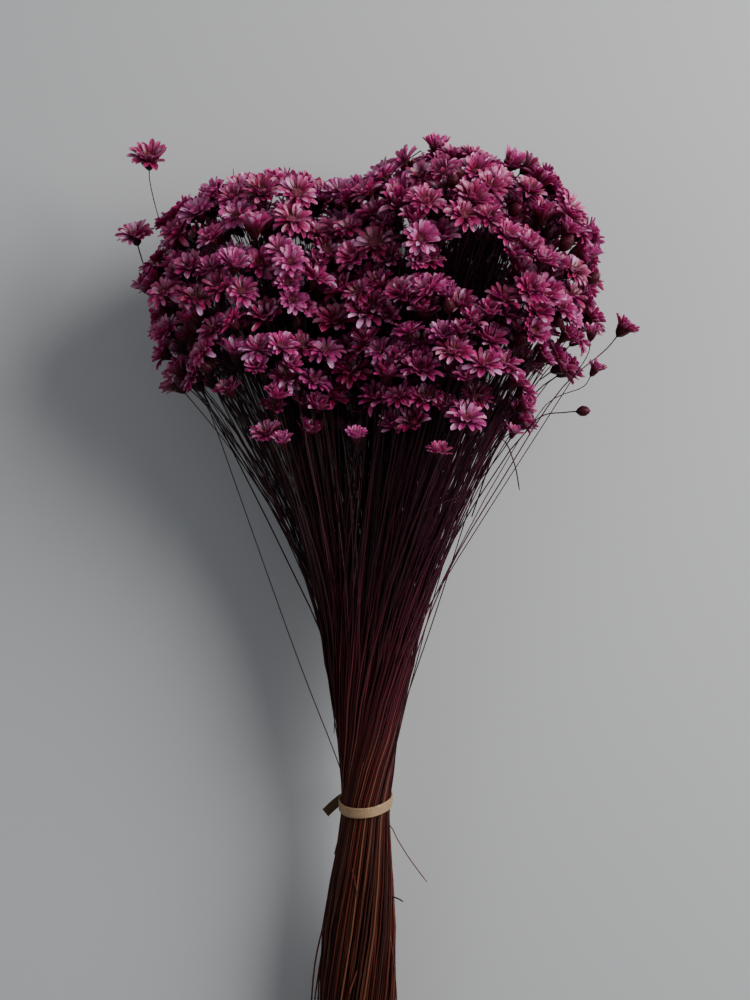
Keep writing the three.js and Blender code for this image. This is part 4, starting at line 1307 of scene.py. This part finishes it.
def cap_faces():
    """Triangles across a section: fans to the ends of its inside, and the space between them."""
    near, last = TIE_ACROSS + 1, TIE_ACROSS + 4
    fans = [(i, i + 1, last if i < TIE_ACROSS / 2 else near) for i in range(TIE_ACROSS)]
    return fans + [(TIE_ACROSS // 2, near, last), (near, near + 1, near + 2), (near, near + 2, last)]


def sweep(shape, rows, sections, closed):
    """Adds a strip swept along rows of (point, across, out), one section for each."""
    points, uv = [], []
    travelled = 0.0
    for k, ((p, across, out), section) in enumerate(zip(rows, sections)):
        if k:
            travelled += float(norm(p - rows[k - 1][0]))
        points += [p + across * a + out * o for a, o in section]
        uv += [(travelled, a) for a, _ in section]
    count = len(sections[0])
    faces = tube_faces(len(rows), count, 0, closed)
    if not closed:
        end = (len(rows) - 1) * count
        faces += [face[::-1] for face in cap_faces()]
        faces += [tuple(end + i for i in face) for face in cap_faces()]
    points = np.array(points)
    # The ends of the strip carry the painted shade, the band none
    shape.add(points, solid_faces(points, faces), uv=uv, inner=0.0 if closed else 1.0)


def tie_band(shape, centre, rng):
    """The closed band round the stems, a little wavy and not quite level."""
    waves = rng.uniform(0, TAU, TIE_ACROSS + 1)
    plain = strip_section(TIE_WIDTH, TIE_THICK, rng)
    rows, sections = [], []
    for k in range(TIE_STEPS):
        a = TAU * k / TIE_STEPS
        radius = TIE_INNER + 0.5 * TIE_THICK + 0.08 * sin(3 * a + 1) + 0.05 * sin(7 * a)
        out = np.array([sin(a), 0, cos(a)])
        p = centre + out * radius
        p[1] += TIE_SLOPE * p[2] + TIE_TILT * (p[0] - centre[0]) + 0.12 * sin(2 * a + 0.6)
        rows.append((p, np.array([0.0, 1.0, 0.0]), out))
        lifts = [TIE_WAVE * sin(2 * a + wave) for wave in waves] + [0] * 4
        sections.append([(w, o + lift) for (w, o), lift in zip(plain, lifts)])
    sweep(shape, rows, sections, True)


def tie_end(shape, line, rng):
    section = strip_section(TIE_WIDTH - TIE_END_NARROWER, TIE_THICK * TIE_END_THINNER, rng)
    rows = []
    for k, p in enumerate(line):
        run = line[min(k + 1, len(line) - 1)] - line[max(k - 1, 0)]
        run /= norm(run)
        across = np.array([0, 1.0, 0]) - run * run[1]
        across /= norm(across)
        rows.append((p, across, np.cross(run, across)))
    sweep(shape, rows, [section] * len(rows), False)


def tie_piece():
    rng = np.random.default_rng(31)
    centre = np.array([look_up(AXIS_X, TIE_ALONG), TIE_ALONG, 0])
    shape = Shape()
    tie_band(shape, centre, rng)
    for end in TIE_ENDS:
        tie_end(shape, smooth_through([(centre[0] + dx, y, z) for dx, y, z in end], 6), rng)
    piece = make_piece("tie_strip", shape, [tie_material()], 40)
    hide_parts("tie")


# Camera, light and floor
def aim(thing, place, target, up=(0, 0, 1)):
    forward = (Vector(target) - Vector(place)).normalized()
    right = forward.cross(Vector(up)).normalized()
    matrix = Matrix((right, right.cross(forward), -forward)).transposed().to_4x4()
    matrix.translation = Vector(place)
    thing.matrix_world = matrix


def add_camera():
    data = bpy.data.cameras.new("camera")
    data.lens = LENS_MM
    data.sensor_width = SENSOR_MM
    data.clip_start = 0.02
    camera = new_object("camera", data)
    target = place_points([*PHOTO_CENTRE, 0])
    place = place_points([*PHOTO_CENTRE, CAMERA_DISTANCE])
    aim(camera, place, target, (0, cos(LEAN), sin(LEAN)))
    bpy.context.scene.camera = camera


def add_light(name, place, size, power, colour):
    data = bpy.data.lights.new(name, "AREA")
    data.shape = "DISK"
    data.size = size
    data.energy = power
    data.color = colour
    aim(new_object(name, data), place, LIT_PLACE)


def add_floor():
    corners = [(x * FLOOR_HALF, y * FLOOR_HALF, 0) for x, y in ((-1, -1), (1, -1), (1, 1), (-1, 1))]
    paper = Nodes("floor_paper").finish({"Base Color": srgb(186, 187, 188), "Roughness": 0.9})
    mesh = bpy.data.meshes.new("floor")
    mesh.from_pydata(corners, [], [(0, 1, 2, 3)])
    mesh.materials.append(paper)
    floor = new_object("floor", mesh)


def set_world():
    world = bpy.data.worlds.new("studio")
    bpy.context.scene.world = world
    world.use_nodes = True
    background = world.node_tree.nodes["Background"]
    background.inputs["Color"].default_value = WORLD_COLOUR
    background.inputs["Strength"].default_value = WORLD_STRENGTH


add_camera()
add_floor()
set_world()
for light_name, light in LIGHTS.items():
    add_light(light_name, *light)

FLOWERS = fill_gaps(lay_out_flowers())
stems_piece(FLOWERS)
tie_piece()
for number in range(len(LOOSE_FLOWERS)):
    flowers_piece("loose_flower_%02d" % (number + 1), [(number, FLOWERS[number])])
for number in range(GROUPS):
    chosen = [(i, f) for i, f in enumerate(FLOWERS) if f["group"] == number]
    flowers_piece("flower_group_%02d" % (number + 1), chosen)
